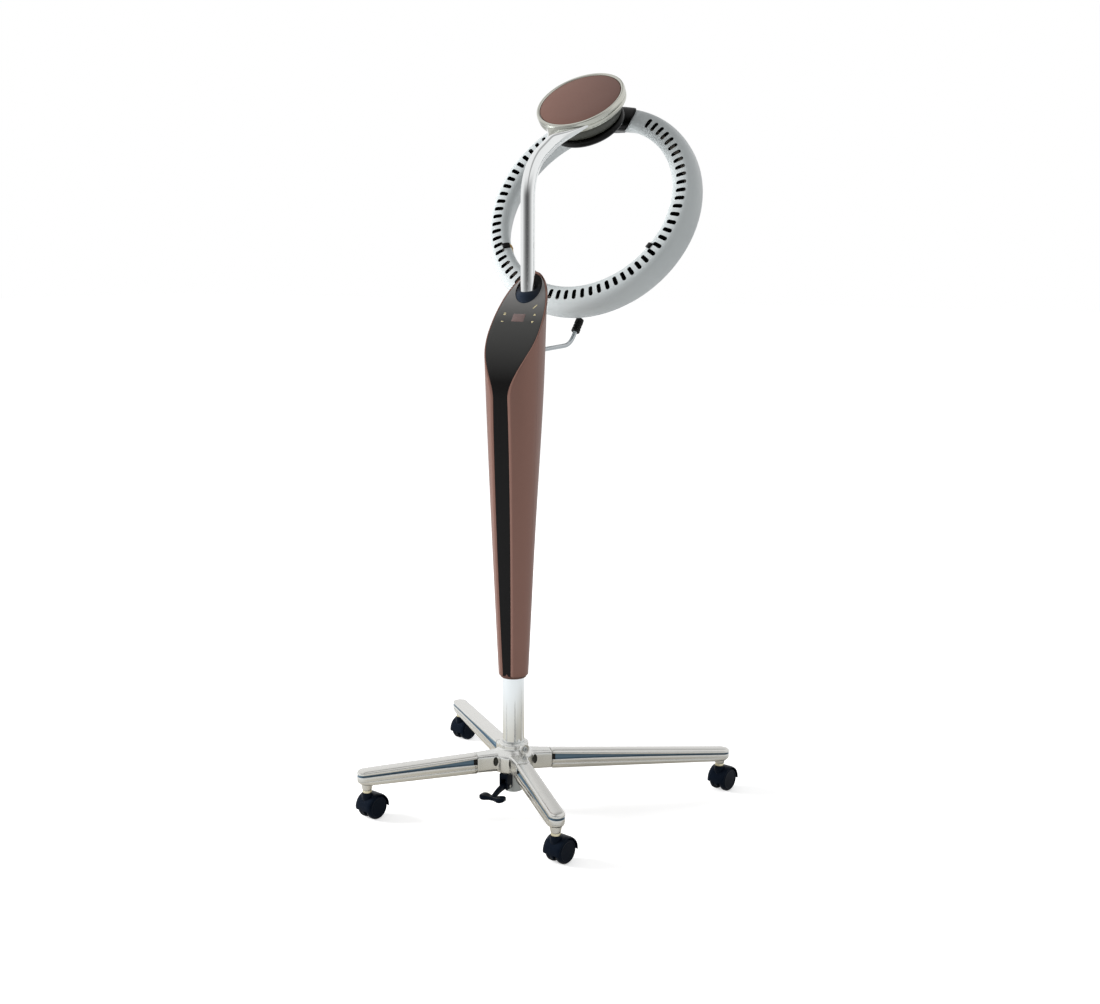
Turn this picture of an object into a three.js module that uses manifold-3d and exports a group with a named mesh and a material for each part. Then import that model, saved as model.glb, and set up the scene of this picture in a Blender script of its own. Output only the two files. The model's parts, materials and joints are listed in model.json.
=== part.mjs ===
// Hair color processor on a four-legged caster base: a tapered body slides on a chrome column,
// an arm carries a tilted head, and the head's motor turns a slotted ring heater about the head's axis.
// Millimetres, +Z up, control panel towards -Y. The column stands on the Z axis while the part is built.
import * as THREE from 'three';
import { mergeVertices } from 'three/addons/utils/BufferGeometryUtils.js';
import Module from 'manifold-3d';

const wasm = await Module();
wasm.setup();
const degree = Math.PI / 180;

// Clearances
const gap = 0.3; // between pieces that are fixed together
const slideGap = 0.5; // between pieces that slide or turn on each other
const overlap = 2; // how far two shapes reach into each other before they are joined or cut
const far = 2000; // longer than any piece, for cutting tools

// Facets
const smallRound = 10; // round a small circle
const mediumRound = 16;
const largeRound = 32;
const ringSteps = 36;
const hoodSteps = 6; // in half a caster's arch
const armSides = 6; // in half the arm's section
const armSteps = 18; // along the arm
const neckSides = 10;
const hookSides = 4;
const hookSteps = 18;
const bodySteps = 7; // up the body
const slopeBendSteps = 8;
const heaterSides = 3;
const heaterSteps = 12;

// Casters
const wheelDiameter = 48;
const wheelWidth = 14;
const wheelSpread = 24; // between the middles of the twin wheels
const treadEdge = 3; // rounding of the tread
const wheelDish = 3; // depth of the hollow in a wheel's outer face
const axleDiameter = 8;
const casterTrail = 13; // axle behind the swivel axis
const casterYaw = -11; // degrees that the casters are swivelled at rest
const webThickness = 8;
const hoodWall = 2.5;
const hoodClearance = 1.5; // between hood and wheel tread
const hoodOverhang = 1; // hood beyond the wheels' outer faces
const hoodRise = 7; // top of the swivel boss above the wheels
const hoodBossDiameter = 22;
const stemDiameter = 11;
const stemInHood = 10;
const stemInLeg = 15;
const collarDiameter = 18;
const collarHeight = 5.5;

// Base
const rearReach = 435; // column axis to rear caster stem
const frontReach = 294;
const rearAngle = 47.6; // from the centre line, degrees
const frontAngle = 46.5;
const tipOverhang = 19; // leg end beyond the stem
const legWidth = 31;
const legRootHeight = 36;
const legTopFall = 3.9; // degrees
const legBottomFall = 2;
const legEdge = 5; // rounding along the leg
const grooveDepth = 4.5;
const grooveLow = 0.3; // share of the leg height below the groove
const grooveHigh = 0.66;
const grooveStart = 4; // from the leg's root
const grooveStop = 30; // from the leg's end
const bossFoot = 18; // diameter of the leg's boss at the caster
const bossSpread = 26;
const hubLift = 20; // hub underside above the caster collars
const hubDiameter = 80;
const hubReach = 76; // where the legs meet the hub's stub arms
const hubHeight = 40;
const hubFloor = 6;
const hubCollarHeight = 15;
const hubCollarWall = 8;
const hubCollarEdge = 3;

// Column and gas spring
const tubeDiameter = 42.7;
const tubeWall = 2;
const tubeShown = 141; // between hub collar and body at the photographed height
const tubeInBody = 430;
const springDiameter = 28;
const springWall = 2.5;
const springLength = 500;
const springCap = 4;
const rodDiameter = 10;
const pistonHeight = 12;
const pistonLift = 190; // piston above the cylinder's floor at the photographed height
const housingDiameter = 36;
const housingWall = 2.5;
const housingDrop = 44; // release housing below the hub
const housingFloor = 4;

// Pedal
const bracketWidth = 24;
const bracketDepth = 22;
const pedalWidth = 12;
const pivotSetback = 13; // pivot in front of the release housing
const pivotDrop = 26; // pivot below the hub
const pivotDiameter = 6;
const pedalEye = 14;
const pedalReach = 48; // pivot to the middle of the pad
const pedalFall = 11; // pad below the pivot
const padWidth = 58;
const padDepth = 24;
const padHeight = 9;

// Body
const bodyFoot = 29.5; // radius at the bottom
const bodyBelly = [600, 58.5]; // height and radius of the curve's control point
const bodyCrown = [815, 59];
const rearSwell = 0.36; // extra depth behind, as a share of the radius
const swellFrom = 200;
const swellTo = 600;
const bodyWall = 3;
const panelThickness = 2;
const ledgeWall = 1.6; // the shell's wall behind the panel
const panelRim = 2.2; // brown border left outside the panel
const facetFoot = 25.8; // front facet in front of the axis, at the bottom
const facetTop = 50.3; // and where the slope starts
const slopeFoot = 601; // height where facet and slope would meet
const slopeAngle = 55.3; // degrees above level
const slopeBend = 150; // radius between them
const windowWidth = 27;
const windowHeight = 19;
const windowDepth = 1.2;
const windowRise = 122; // up the slope from its foot
const bushFlange = 5;
const bushLength = 70;
const bushInset = 2.5; // flange inside the body's outer edge
const bushEdge = 1.5;
const carriageWall = 2.5;
const carriageLength = 500;
const carriageCap = 8;

// Arm
const armDiameter = 28;
const armWall = 2;
const armSetback = 54; // arm axis behind the column axis
const armSeat = 656; // foot of the arm above the body's bottom
const armBend = 105; // radius
const armRise = 30; // degrees above level after the bend
const spigotLength = 60;
const socketWidth = 22;
const socketHeight = 16;
const socketInset = 4; // socket inside the carriage's edge
const neckLength = 44; // the head's neck, which the arm plugs on to
const neckWall = 1; // neck beyond the arm's outside
const neckSpigot = 18; // inside the arm
const neckRoot = 9; // spigot inside the neck
const grommetDiameter = 56;
const grommetDepth = 12; // into the body, from the panel's face
const grommetProud = 11;
const grommetTilt = 22; // its face is flatter than the panel by this angle

// Circuit board, cord gland and hook
const boardWidth = 62;
const boardHeight = 70;
const boardThickness = 1.6;
const boardStandoff = 6;
const boardRise = 95; // its middle, up the slope
const pillarDiameter = 6;
const pillarInset = 6; // from the board's edges
const glandHeight = 110; // above the body's bottom
const glandDiameter = 16;
const glandBore = 8;
const glandFlange = 22;
const glandEdge = 2;
const glandSeat = 1.5; // flange in front of the body's curve
const glandProud = 7;
const hookHeight = 634; // above the body's bottom
const hookDiameter = 11;
const hookReach = 223; // bend behind the column axis
const hookLift = 6; // rise along the level stretch
const hookBend = 16;
const hookAngle = 50; // degrees above level
const hookTip = 46; // from the bend
const hookRoom = 55; // least room from the hook's level stretch up to the ring
const capDiameter = 18;
const capLength = 30;
const capGrip = 12; // rod inside the cap
const capEdge = 3;

// Head
const headBehind = 258; // disc centre behind the column axis
const headRise = 1129; // disc centre above the body's bottom
const headTilt = 39.3; // degrees from level, facing forward
const discDiameter = 170;
const discThickness = 3;
const discEdge = 1;
const discCrown = 0.6; // middle of the disc above its edge
const rimWidth = 7;
const rimEdge = 4; // rounding of the rim
const rimHeight = 21;
const rimLip = 1.5; // above the disc
const panFloor = 3;
const panHole = 40;
const housingSeat = 1; // motor housing's lip behind the rim's inner face
const housingTop = 160; // motor housing diameters
const housingBottom = 142;
const motorHousingHeight = 30;
const housingTaper = 21; // height of its narrowing part
const motorHousingWall = 2.5;
const motorDiameter = 64;
const motorHeight = 30;
const shaftDiameter = 12;
const rotorDiameter = 152;
const rotorHeight = 19;
const rotorEdge = 8; // bevel underneath
const rotorTopEdge = 3;
const rotorGap = 0.8; // between motor housing and rotor

// Ring heater
const ringRadius = 208; // to the middle of the section
const ringHalfWidth = 29; // across the section, in the ring's plane
const ringHalfDepth = 35;
const ringWall = 2.5;
const ringDrop = 207.6; // ring centre below the disc, along the head's axis
const ringOffset = 93.6; // and to the front of that axis
const ringTilt = 22.4; // ring plane against the disc, degrees
const slotFlat = 22; // degrees each side of the front that are flat
const slotLength = 17;
const slotWidth = 6;
const slotPitch = 5; // degrees
const slotClear = 20; // degrees without slots each side of the bracket
const clampAngle = 7; // half the clamp, degrees
const clampWall = 4;
const bracketBlock = 44;
const bracketStart = 27; // from the head's axis
const heaterDiameter = 12;
const heaterCount = 3;
const clipWidth = 20;
const clipHeight = 16;
const clipProud = 1.5;
const clipCover = 4; // clip beyond the heater's middle

// Finishes
const finish = (color, roughness, metalness) =>
  new THREE.MeshStandardMaterial({ color, roughness, metalness });
const brown = finish(0x7b5b52, 0.45, 0.35);
const blackGloss = finish(0x1b1b1b, 0.12, 0);
const chrome = finish(0xe8eaea, 0.08, 1);
const polishedAluminium = finish(0xd9d6cc, 0.18, 1);
const blackNylon = finish(0x15181f, 0.5, 0);
const navyRubber = finish(0x1c2431, 0.6, 0);
const ringGrey = finish(0xc9d1d6, 0.4, 0);
const darkGrey = finish(0x45463f, 0.45, 0.2);
const steel = finish(0xa9adb0, 0.3, 1);
const brass = finish(0xc9b27a, 0.3, 1);
const quartz = finish(0xd8cfc4, 0.2, 0);
const displayTint = finish(0x4a3534, 0.15, 0);
const boardGreen = finish(0x2d4a36, 0.6, 0);

// Solids from meshes, and back
function solidOf(geometry) {
  const bare = geometry.clone();
  bare.deleteAttribute('normal');
  bare.deleteAttribute('uv');
  const merged = mergeVertices(bare, 1e-4);
  const corners = merged.index.array;
  const triVerts = [];
  for (let i = 0; i < corners.length; i += 3) {
    const [a, b, c] = corners.slice(i, i + 3);
    if (a !== b && b !== c && c !== a) triVerts.push(a, b, c);
  }
  const vertProperties = new Float32Array(merged.attributes.position.array);
  return new wasm.Manifold(new wasm.Mesh({ numProp: 3, vertProperties, triVerts: new Uint32Array(triVerts) }));
}

function geometryOf(solid) {
  const mesh = solid.getMesh();
  const geometry = new THREE.BufferGeometry();
  geometry.setAttribute('position', new THREE.BufferAttribute(mesh.vertProperties, 3));
  geometry.setIndex(new THREE.BufferAttribute(mesh.triVerts, 1));
  return geometry;
}

const join = (first, ...others) =>
  geometryOf(others.reduce((solid, other) => solid.add(solidOf(other)), solidOf(first)));
const cut = (first, ...tools) =>
  geometryOf(tools.reduce((solid, tool) => solid.subtract(solidOf(tool)), solidOf(first)));
const common = (first, ...others) =>
  geometryOf(others.reduce((solid, other) => solid.intersect(solidOf(other)), solidOf(first)));

// A closed outline of [radius, height], drawn either way round, turned about the Z axis
function turned(outline, segments = mediumRound) {
  const points = outline.map(([radius, height]) => new THREE.Vector2(radius, height));
  if (THREE.ShapeUtils.area(points) < 0) points.reverse();
  const closed = points[0].x > 0 ? [...points, points[0].clone()] : points;
  return new THREE.LatheGeometry(closed, segments).rotateX(Math.PI / 2);
}

function rod(radius, low, high, segments = smallRound) {
  return turned([[0, low], [radius, low], [radius, high], [0, high]], segments);
}

// A faceted hole whose flats clear a round of this radius
function hole(radius, low, high, segments = smallRound) {
  return rod(radius / Math.cos(Math.PI / segments), low, high, segments);
}

// A [y, z] outline carried across X, centred on the plane x = 0
function across(outline, width, edge = 0) {
  const shape = new THREE.Shape(outline.map(([y, z]) => new THREE.Vector2(y, z)));
  const bevel = { bevelThickness: edge, bevelSize: edge, bevelOffset: -edge, bevelSegments: 1 };
  const depth = width - 2 * edge;
  const geometry = new THREE.ExtrudeGeometry(shape, { depth, bevelEnabled: edge > 0, ...bevel });
  geometry.translate(0, 0, -depth / 2);
  const sideways = new THREE.Matrix4().makeBasis(
    new THREE.Vector3(0, 1, 0), new THREE.Vector3(0, 0, 1), new THREE.Vector3(1, 0, 0));
  return geometry.applyMatrix4(sideways);
}

function block(x0, x1, y0, y1, z0, z1) {
  const box = new THREE.BoxGeometry(x1 - x0, y1 - y0, z1 - z0);
  return box.translate((x0 + x1) / 2, (y0 + y1) / 2, (z0 + z1) / 2);
}

// A round rod or tube along a path
function swept(path, radius, steps, sides, bore = 0) {
  const shape = new THREE.Shape().absarc(0, 0, radius, 0, 2 * Math.PI);
  if (bore > 0) shape.holes.push(new THREE.Path().absarc(0, 0, bore, 0, 2 * Math.PI));
  const course = { steps, curveSegments: sides, extrudePath: path, bevelEnabled: false };
  return new THREE.ExtrudeGeometry(shape, course);
}

// A straight run, a round bend and a second straight run in the plane x = 0
function bentPath(start, corner, end, radius) {
  const into = corner.clone().sub(start).normalize();
  const out = end.clone().sub(corner).normalize();
  const tangent = radius * Math.tan(into.angleTo(out) / 2);
  const bendStart = corner.clone().addScaledVector(into, -tangent);
  const bendEnd = corner.clone().addScaledVector(out, tangent);
  const path = new THREE.CurvePath();
  path.add(new THREE.LineCurve3(start, bendStart));
  path.add(new THREE.QuadraticBezierCurve3(bendStart, corner, bendEnd));
  path.add(new THREE.LineCurve3(bendEnd, end));
  return path;
}

const inPlane = (y, z) => new THREE.Vector3(0, y, z);
const along = (y, z, distance, angle) =>
  inPlane(y + distance * Math.cos(angle * degree), z + distance * Math.sin(angle * degree));

const model = new THREE.Group();

function part(name, geometry, material, parent = model) {
  const mesh = new THREE.Mesh(geometry, material);
  mesh.name = name;
  parent.add(mesh);
  return mesh;
}

function groupAt(x, y, z, tilt = 0, parent = model) {
  const group = new THREE.Group();
  group.position.set(x, y, z);
  group.rotation.x = tilt * degree;
  parent.add(group);
  return group;
}

// Heights that follow from each other
const axleHeight = wheelDiameter / 2;
const bossTop = wheelDiameter + hoodRise;
const collarLow = bossTop + gap;
const collarTop = collarLow + collarHeight;
const hubBottom = collarTop + hubLift;
const hubTop = hubBottom + hubHeight;
const hubCollarTop = hubTop + hubCollarHeight;
const bodyBottom = hubCollarTop + tubeShown;
const tubeRadius = tubeDiameter / 2;

// Casters
function casterHood() {
  const inner = wheelDiameter / 2 + hoodClearance;
  const outer = inner + hoodWall;
  const width = wheelSpread + wheelWidth + 2 * hoodOverhang;
  const arch = new THREE.Shape().absarc(casterTrail, axleHeight, outer, 0, Math.PI);
  arch.absarc(casterTrail, axleHeight, inner, Math.PI, 0, true);
  const web = new THREE.Shape().absarc(casterTrail, axleHeight, outer - overlap / 2, 0, 2 * Math.PI);
  const outlineOf = (shape, divisions) => shape.getPoints(divisions).map((point) => [point.x, point.y]);
  const arm = [[casterTrail, axleHeight - hoodBossDiameter / 2], [-hoodBossDiameter / 2, axleHeight],
    [-hoodBossDiameter / 2, bossTop - hoodRise / 2], [casterTrail, axleHeight + inner]];
  const boss = rod(hoodBossDiameter / 2, bossTop - hoodRise - stemInHood / 2, bossTop);
  const lowered = block(-far, far, -far, far, -far, axleHeight - hoodBossDiameter / 2);
  const skirt = across(outlineOf(arch, hoodSteps), width);
  const wheelRoom = [-1, 1].map((side) => across(
    outlineOf(new THREE.Shape().absarc(casterTrail, axleHeight, inner, 0, 2 * Math.PI), hoodSteps), wheelSpread)
    .translate(side * (wheelSpread + webThickness) / 2, 0, 0));
  const bearing = hole(axleDiameter / 2 + slideGap / 2, -width, width)
    .rotateY(Math.PI / 2).translate(0, casterTrail, axleHeight);
  const stemHole = hole(stemDiameter / 2 + slideGap / 2, bossTop - stemInHood, bossTop + overlap);
  const webPlate = cut(across(outlineOf(web, hoodSteps), webThickness), lowered);
  const bossRoom = cut(boss, ...wheelRoom);
  return cut(join(skirt, webPlate, across(arm, webThickness), bossRoom), bearing, stemHole);
}

// The tread's facets lie flat on the floor
function casterWheel() {
  const halfFacet = Math.PI / mediumRound;
  const radius = wheelDiameter / 2 / Math.cos(halfFacet);
  const half = wheelWidth / 2;
  const bore = axleDiameter / 2 + gap;
  const outline = [[bore, -half], [radius - treadEdge, -half], [radius, treadEdge - half],
    [radius, half - treadEdge], [radius - treadEdge, half], [bore, half - wheelDish]];
  return turned(outline).rotateZ(halfFacet).rotateY(Math.PI / 2);
}

function casterStem() {
  const radius = stemDiameter / 2;
  const low = bossTop - stemInHood + gap;
  const high = collarTop + stemInLeg;
  const outline = [[0, low], [radius, low], [radius, collarLow], [collarDiameter / 2, collarLow],
    [collarDiameter / 2, collarTop - gap], [radius, collarTop - gap], [radius, high], [0, high]];
  return turned(outline, smallRound);
}

const casterPlaces = {
  front_left: [frontReach, -frontAngle - 90],
  front_right: [frontReach, frontAngle - 90],
  rear_left: [rearReach, 90 + rearAngle],
  rear_right: [rearReach, 90 - rearAngle],
};

function addCasters() {
  for (const [corner, [reach, angle]] of Object.entries(casterPlaces)) {
    const caster = groupAt(reach * Math.cos(angle * degree), reach * Math.sin(angle * degree), 0);
    caster.rotation.z = casterYaw * degree;
    part(`caster_stem_${corner}`, casterStem(), brass, caster);
    part(`caster_hood_${corner}`, casterHood(), blackNylon, caster);
    const wheels = groupAt(0, casterTrail, axleHeight, 0, caster);
    const axle = rod(axleDiameter / 2, -wheelSpread / 2 - wheelWidth / 2 + wheelDish,
      wheelSpread / 2 + wheelWidth / 2 - wheelDish);
    part(`caster_axle_${corner}`, axle.rotateY(Math.PI / 2), steel, wheels);
    const right = part(`caster_wheel_right_${corner}`, casterWheel(), blackNylon, wheels);
    right.position.x = wheelSpread / 2;
    const left = part(`caster_wheel_left_${corner}`, casterWheel().rotateZ(Math.PI), blackNylon, wheels);
    left.position.x = -wheelSpread / 2;
  }
}

// Base: hub, legs, column tube
const legTop = (reach) => hubBottom + legRootHeight - Math.tan(legTopFall * degree) * (reach - hubReach);
const legBottom = (reach) => hubBottom - Math.tan(legBottomFall * degree) * (reach - hubReach);

// A leg points along +Y until it is turned into place
function legBar(from, to) {
  const outline = [[from, legBottom(from)], [to, legBottom(to)], [to, legTop(to)], [from, legTop(from)]];
  return across(outline, legWidth, legEdge);
}

function leg(reach) {
  const root = hubReach + gap;
  const end = reach + tipOverhang;
  const half = legWidth / 2;
  const rounded = new THREE.Shape();
  rounded.moveTo(-half, root);
  rounded.lineTo(half, root);
  rounded.absarc(0, end - half, half, 0, Math.PI);
  const upright = { depth: far, bevelEnabled: false, curveSegments: smallRound / 2 };
  const plan = new THREE.ExtrudeGeometry(rounded, upright);
  const bar = common(legBar(root - legEdge, end + legEdge), plan);
  const level = (distance, share) =>
    legBottom(distance) + share * (legTop(distance) - legBottom(distance));
  const near = root + grooveStart;
  const stop = end - grooveStop;
  const groove = [[near, level(near, grooveLow)], [stop, level(stop, grooveLow)],
    [stop, level(stop, grooveHigh)], [near, level(near, grooveHigh)]];
  const grooves = [-1, 1].map((side) => across(groove, 2 * grooveDepth).translate(side * half, 0, 0));
  const bossHigh = legBottom(reach) + legEdge + overlap;
  const boss = turned([[0, collarTop], [bossFoot / 2, collarTop], [bossSpread / 2, bossHigh], [0, bossHigh]])
    .translate(0, reach, 0);
  const socket = hole(stemDiameter / 2 + gap, collarTop - overlap, collarTop + stemInLeg + gap)
    .translate(0, reach, 0);
  return cut(join(bar, boss), ...grooves, socket);
}

function hub() {
  const body = turned([[0, hubBottom], [hubDiameter / 2, hubBottom], [hubDiameter / 2, hubTop - legEdge],
    [hubDiameter / 2 - legEdge, hubTop], [tubeRadius + hubCollarWall, hubTop + overlap],
    [tubeRadius + hubCollarWall, hubCollarTop - hubCollarEdge],
    [tubeRadius + hubCollarWall - hubCollarEdge, hubCollarTop], [0, hubCollarTop]], largeRound);
  const square = block(-far, far, 0, hubReach, 0, far);
  const arms = Object.values(casterPlaces).map(([, angle]) =>
    common(legBar(-legEdge, hubReach + 2 * legEdge), square).rotateZ((angle - 90) * degree));
  const bore = rod(tubeRadius + gap, hubBottom + hubFloor, far, largeRound);
  const springHole = rod(springDiameter / 2 + gap, 0, far, mediumRound);
  return cut(join(body, ...arms), bore, springHole);
}

function addBase() {
  part('base_hub', hub(), polishedAluminium);
  for (const [corner, [reach, angle]] of Object.entries(casterPlaces)) {
    const mesh = part(`leg_${corner}`, leg(reach), polishedAluminium);
    mesh.rotation.z = (angle - 90) * degree;
  }
  const tubeLow = hubBottom + hubFloor + gap;
  const tubeTop = bodyBottom + tubeInBody;
  const bore = tubeRadius - tubeWall;
  const wall = [[bore, tubeLow], [tubeRadius, tubeLow], [tubeRadius, tubeTop], [bore, tubeTop]];
  const tube = turned(wall, largeRound);
  part('column_tube', tube, chrome);
}

// Gas spring and its release
const housingLow = hubBottom - housingDrop;
const springLow = housingLow + housingFloor + gap;
const springTop = springLow + springLength;
const carriageLow = bodyBottom + bushLength + gap;
const carriageTop = carriageLow + carriageLength;

function addGasSpring() {
  const outer = springDiameter / 2;
  const inner = outer - springWall;
  const rodHole = rodDiameter / 2 + slideGap / 2;
  const cylinder = turned([[0, springLow], [outer, springLow], [outer, springTop], [rodHole, springTop],
    [rodHole, springTop - springCap], [inner, springTop - springCap], [inner, springLow + springCap],
    [0, springLow + springCap]]);
  part('gas_spring_cylinder', cylinder, darkGrey);
  const piston = inner - slideGap / 2;
  const pistonLow = springLow + springCap + pistonLift;
  const rodTop = carriageTop - carriageCap - gap;
  const springRod = turned([[0, pistonLow], [piston, pistonLow], [piston, pistonLow + pistonHeight],
    [rodDiameter / 2, pistonLow + pistonHeight], [rodDiameter / 2, rodTop], [0, rodTop]], smallRound);
  part('gas_spring_rod', springRod, steel);
  const shell = housingDiameter / 2;
  const housing = turned([[0, housingLow], [shell, housingLow], [shell, hubBottom - gap],
    [shell - housingWall, hubBottom - gap], [shell - housingWall, housingLow + housingFloor],
    [0, housingLow + housingFloor]]);
  part('release_housing', housing, darkGrey);
}

// Foot pedal
const housingFront = -housingDiameter / 2 - gap;
const pivotY = housingFront - pivotSetback;
const pivotZ = hubBottom - pivotDrop;

function addPedal() {
  const back = housingFront;
  const front = back - bracketDepth;
  const low = pivotZ - pedalEye / 2;
  const cheeks = block(-bracketWidth / 2, bracketWidth / 2, front, back, low, hubBottom - gap);
  const room = pedalWidth / 2 + slideGap;
  const slotBack = pivotY + pedalEye / 2 + slideGap;
  const slot = block(-room, room, front - overlap, slotBack, low - overlap, pivotZ + pedalEye / 2 + slideGap);
  const pinHole = (slack) => hole(pivotDiameter / 2 + slack, -bracketWidth, bracketWidth)
    .rotateY(Math.PI / 2).translate(0, pivotY, pivotZ);
  part('pedal_bracket', cut(cheeks, slot, pinHole(gap)), blackNylon);
  const pin = rod(pivotDiameter / 2, -bracketWidth / 2, bracketWidth / 2).rotateY(Math.PI / 2);
  part('pedal_pin', pin.translate(0, pivotY, pivotZ), steel);
  const eye = rod(pedalEye / 2, -pedalWidth / 2, pedalWidth / 2).rotateY(Math.PI / 2)
    .translate(0, pivotY, pivotZ);
  const padY = pivotY - pedalReach;
  const padTop = pivotZ - pedalFall + padHeight / 2;
  const arm = across([[pivotY, pivotZ - pedalEye / 2], [padY, padTop - padHeight], [padY, padTop],
    [pivotY, pivotZ + pedalEye / 2]], pedalWidth);
  const pad = across([[padY - padDepth / 2, padTop - padHeight], [padY + padDepth / 2, padTop - padHeight],
    [padY + padDepth / 2, padTop], [padY - padDepth / 2, padTop]], padWidth, padHeight / 3);
  part('foot_pedal', cut(join(arm, eye, pad), pinHole(slideGap / 2)), blackNylon);
}

// Body: radius over height, swollen to the rear, with a flat front that bends back into the panel's slope
const bodyCurve = new THREE.QuadraticBezierCurve(
  new THREE.Vector2(bodyFoot, 0), new THREE.Vector2(bodyBelly[1], bodyBelly[0]),
  new THREE.Vector2(bodyCrown[1], bodyCrown[0]));

function swollen(geometry) {
  const place = geometry.attributes.position;
  for (let i = 0; i < place.count; i += 1) {
    const height = place.getZ(i) - bodyBottom;
    const swell = 1 + rearSwell * THREE.MathUtils.smoothstep(height, swellFrom, swellTo);
    if (place.getY(i) > 0) place.setY(i, place.getY(i) * swell);
  }
  return geometry;
}

// The body's outside, moved inwards by an inset; it starts below the bottom where it is a cutting tool
function bodyForm(inset, below = 0) {
  const side = bodyCurve.getPoints(bodySteps).map((point) => [point.x - inset, bodyBottom + point.y]);
  const foot = below > 0 ? [[bodyFoot - inset, bodyBottom - below]] : [];
  const outline = [[0, bodyBottom - below], ...foot, ...side, [0, bodyBottom + bodyCrown[0]]];
  return swollen(turned(outline, largeRound));
}

const slopeTurn = slopeAngle * degree;
const slopeStart = inPlane(-facetTop, bodyBottom + slopeFoot);
const onSlope = (rise, depth) => along(
  slopeStart.y + depth * Math.sin(slopeTurn), slopeStart.z - depth * Math.cos(slopeTurn), rise, slopeAngle);

// Everything in front of the front face, moved into the body by a depth
function frontRoom(depth) {
  const lean = Math.atan2(facetTop - facetFoot, slopeFoot);
  const lower = inPlane(-facetFoot + depth * Math.cos(lean), bodyBottom + depth * Math.sin(lean));
  const upward = inPlane(-Math.sin(lean), Math.cos(lean));
  const slopeLine = along(0, 0, 1, slopeAngle);
  const toSlope = onSlope(0, depth).sub(lower);
  const reach = (toSlope.y * slopeLine.z - toSlope.z * slopeLine.y)
    / (upward.y * slopeLine.z - upward.z * slopeLine.y);
  const meet = lower.clone().addScaledVector(upward, reach);
  const turn = Math.PI / 2 + lean - slopeTurn;
  const tangent = (slopeBend - depth) * Math.tan(turn / 2);
  const start = meet.clone().addScaledVector(upward, -tangent);
  const stop = meet.clone().addScaledVector(slopeLine, tangent);
  const bend = new THREE.QuadraticBezierCurve(new THREE.Vector2(start.y, start.z),
    new THREE.Vector2(meet.y, meet.z), new THREE.Vector2(stop.y, stop.z)).getPoints(slopeBendSteps);
  const bottom = lower.clone().addScaledVector(upward, -bodyFoot);
  const top = meet.clone().addScaledVector(slopeLine, far / 2);
  const outline = [[bottom.y, bottom.z], ...bend.map((point) => [point.x, point.y]), [top.y, top.z],
    [-far, top.z], [-far, bottom.z]];
  return across(outline.reverse(), far);
}

// A cylinder square to the slope, from a depth inside the panel's face to a height in front of it
function slopeRod(radius, rise, depth, height) {
  const place = onSlope(rise, 0);
  const bar = rod(radius, -depth, height, mediumRound).rotateX(slopeTurn);
  return bar.translate(0, place.y, place.z);
}

const armFoot = bodyBottom + armSeat;
const spigotRadius = (armDiameter / 2 - armWall) * Math.cos(Math.PI / 2 / armSides) - gap;
const grommetRise = (armSetback - slopeStart.y) / Math.cos(slopeTurn);
const armTool = (slack) => hole(armDiameter / 2 + slack, armFoot - far / 4, armFoot + far / 4, mediumRound)
  .translate(0, armSetback, 0);

function addBody() {
  const floorDepth = panelThickness + gap;
  const whole = cut(bodyForm(0), frontRoom(0));
  const pocket = common(bodyForm(panelRim, overlap), frontRoom(floorDepth));
  const cavity = cut(bodyForm(bodyWall, overlap), frontRoom(floorDepth + ledgeWall));
  const grommetHole = slopeRod(grommetDiameter / 2 + gap, grommetRise, grommetDepth + bodyWall, far / 4);
  const hookY = armSetback + armDiameter / 2;
  const hookHole = hole(hookDiameter / 2 + gap, 0, far / 4).rotateX(-Math.PI / 2)
    .translate(0, hookY, bodyBottom + hookHeight);
  const glandHole = rod(glandDiameter / 2 + gap, 0, far / 4).rotateX(-Math.PI / 2)
    .translate(0, 0, bodyBottom + glandHeight);
  const shell = cut(whole, pocket, cavity, grommetHole, armTool(slideGap), hookHole, glandHole);
  const ahead = block(-far, far, -far, -gap / 2, -far, far);
  const behind = block(-far, far, gap / 2, far, -far, far);
  part('front_shell', common(shell, ahead), brown);
  part('rear_shell', common(shell, behind), brown);

  const sheet = common(cut(bodyForm(panelRim + gap), frontRoom(0)), frontRoom(panelThickness));
  const windowPlace = onSlope(windowRise, windowDepth / 2);
  const windowBox = (slack, raise) => new THREE.BoxGeometry(
    windowWidth + 2 * slack, windowHeight + 2 * slack, windowDepth + 2 * raise)
    .rotateX(slopeTurn).translate(0, windowPlace.y, windowPlace.z);
  part('control_panel', cut(sheet, grommetHole, armTool(slideGap), windowBox(gap, gap)), blackGloss);
  part('display_window', windowBox(0, 0), displayTint);

  const plug = slopeRod(grommetDiameter / 2, grommetRise, grommetDepth, grommetProud * 2);
  const face = onSlope(grommetRise, 0);
  const above = block(-far, far, -far, far, 0, far)
    .rotateX(slopeTurn - grommetTilt * degree).translate(0, face.y, face.z);
  part('arm_grommet', cut(plug, above, armTool(gap)), navyRubber);

  const flange = bodyFoot - bushInset;
  const sleeve = bodyFoot - bodyWall - gap;
  const bore = tubeRadius + slideGap / 2;
  const bush = turned([[bore, bodyBottom - bushFlange], [flange - bushEdge, bodyBottom - bushFlange],
    [flange, bodyBottom - gap], [sleeve, bodyBottom - gap], [sleeve, bodyBottom + bushLength],
    [bore, bodyBottom + bushLength]], largeRound);
  const behindLedge = common(frontRoom(floorDepth + ledgeWall + gap),
    block(-far, far, -far, far, bodyBottom - gap, far));
  part('lower_bush', cut(bush, behindLedge, frontRoom(bushInset / 2)), blackNylon);
}

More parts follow.
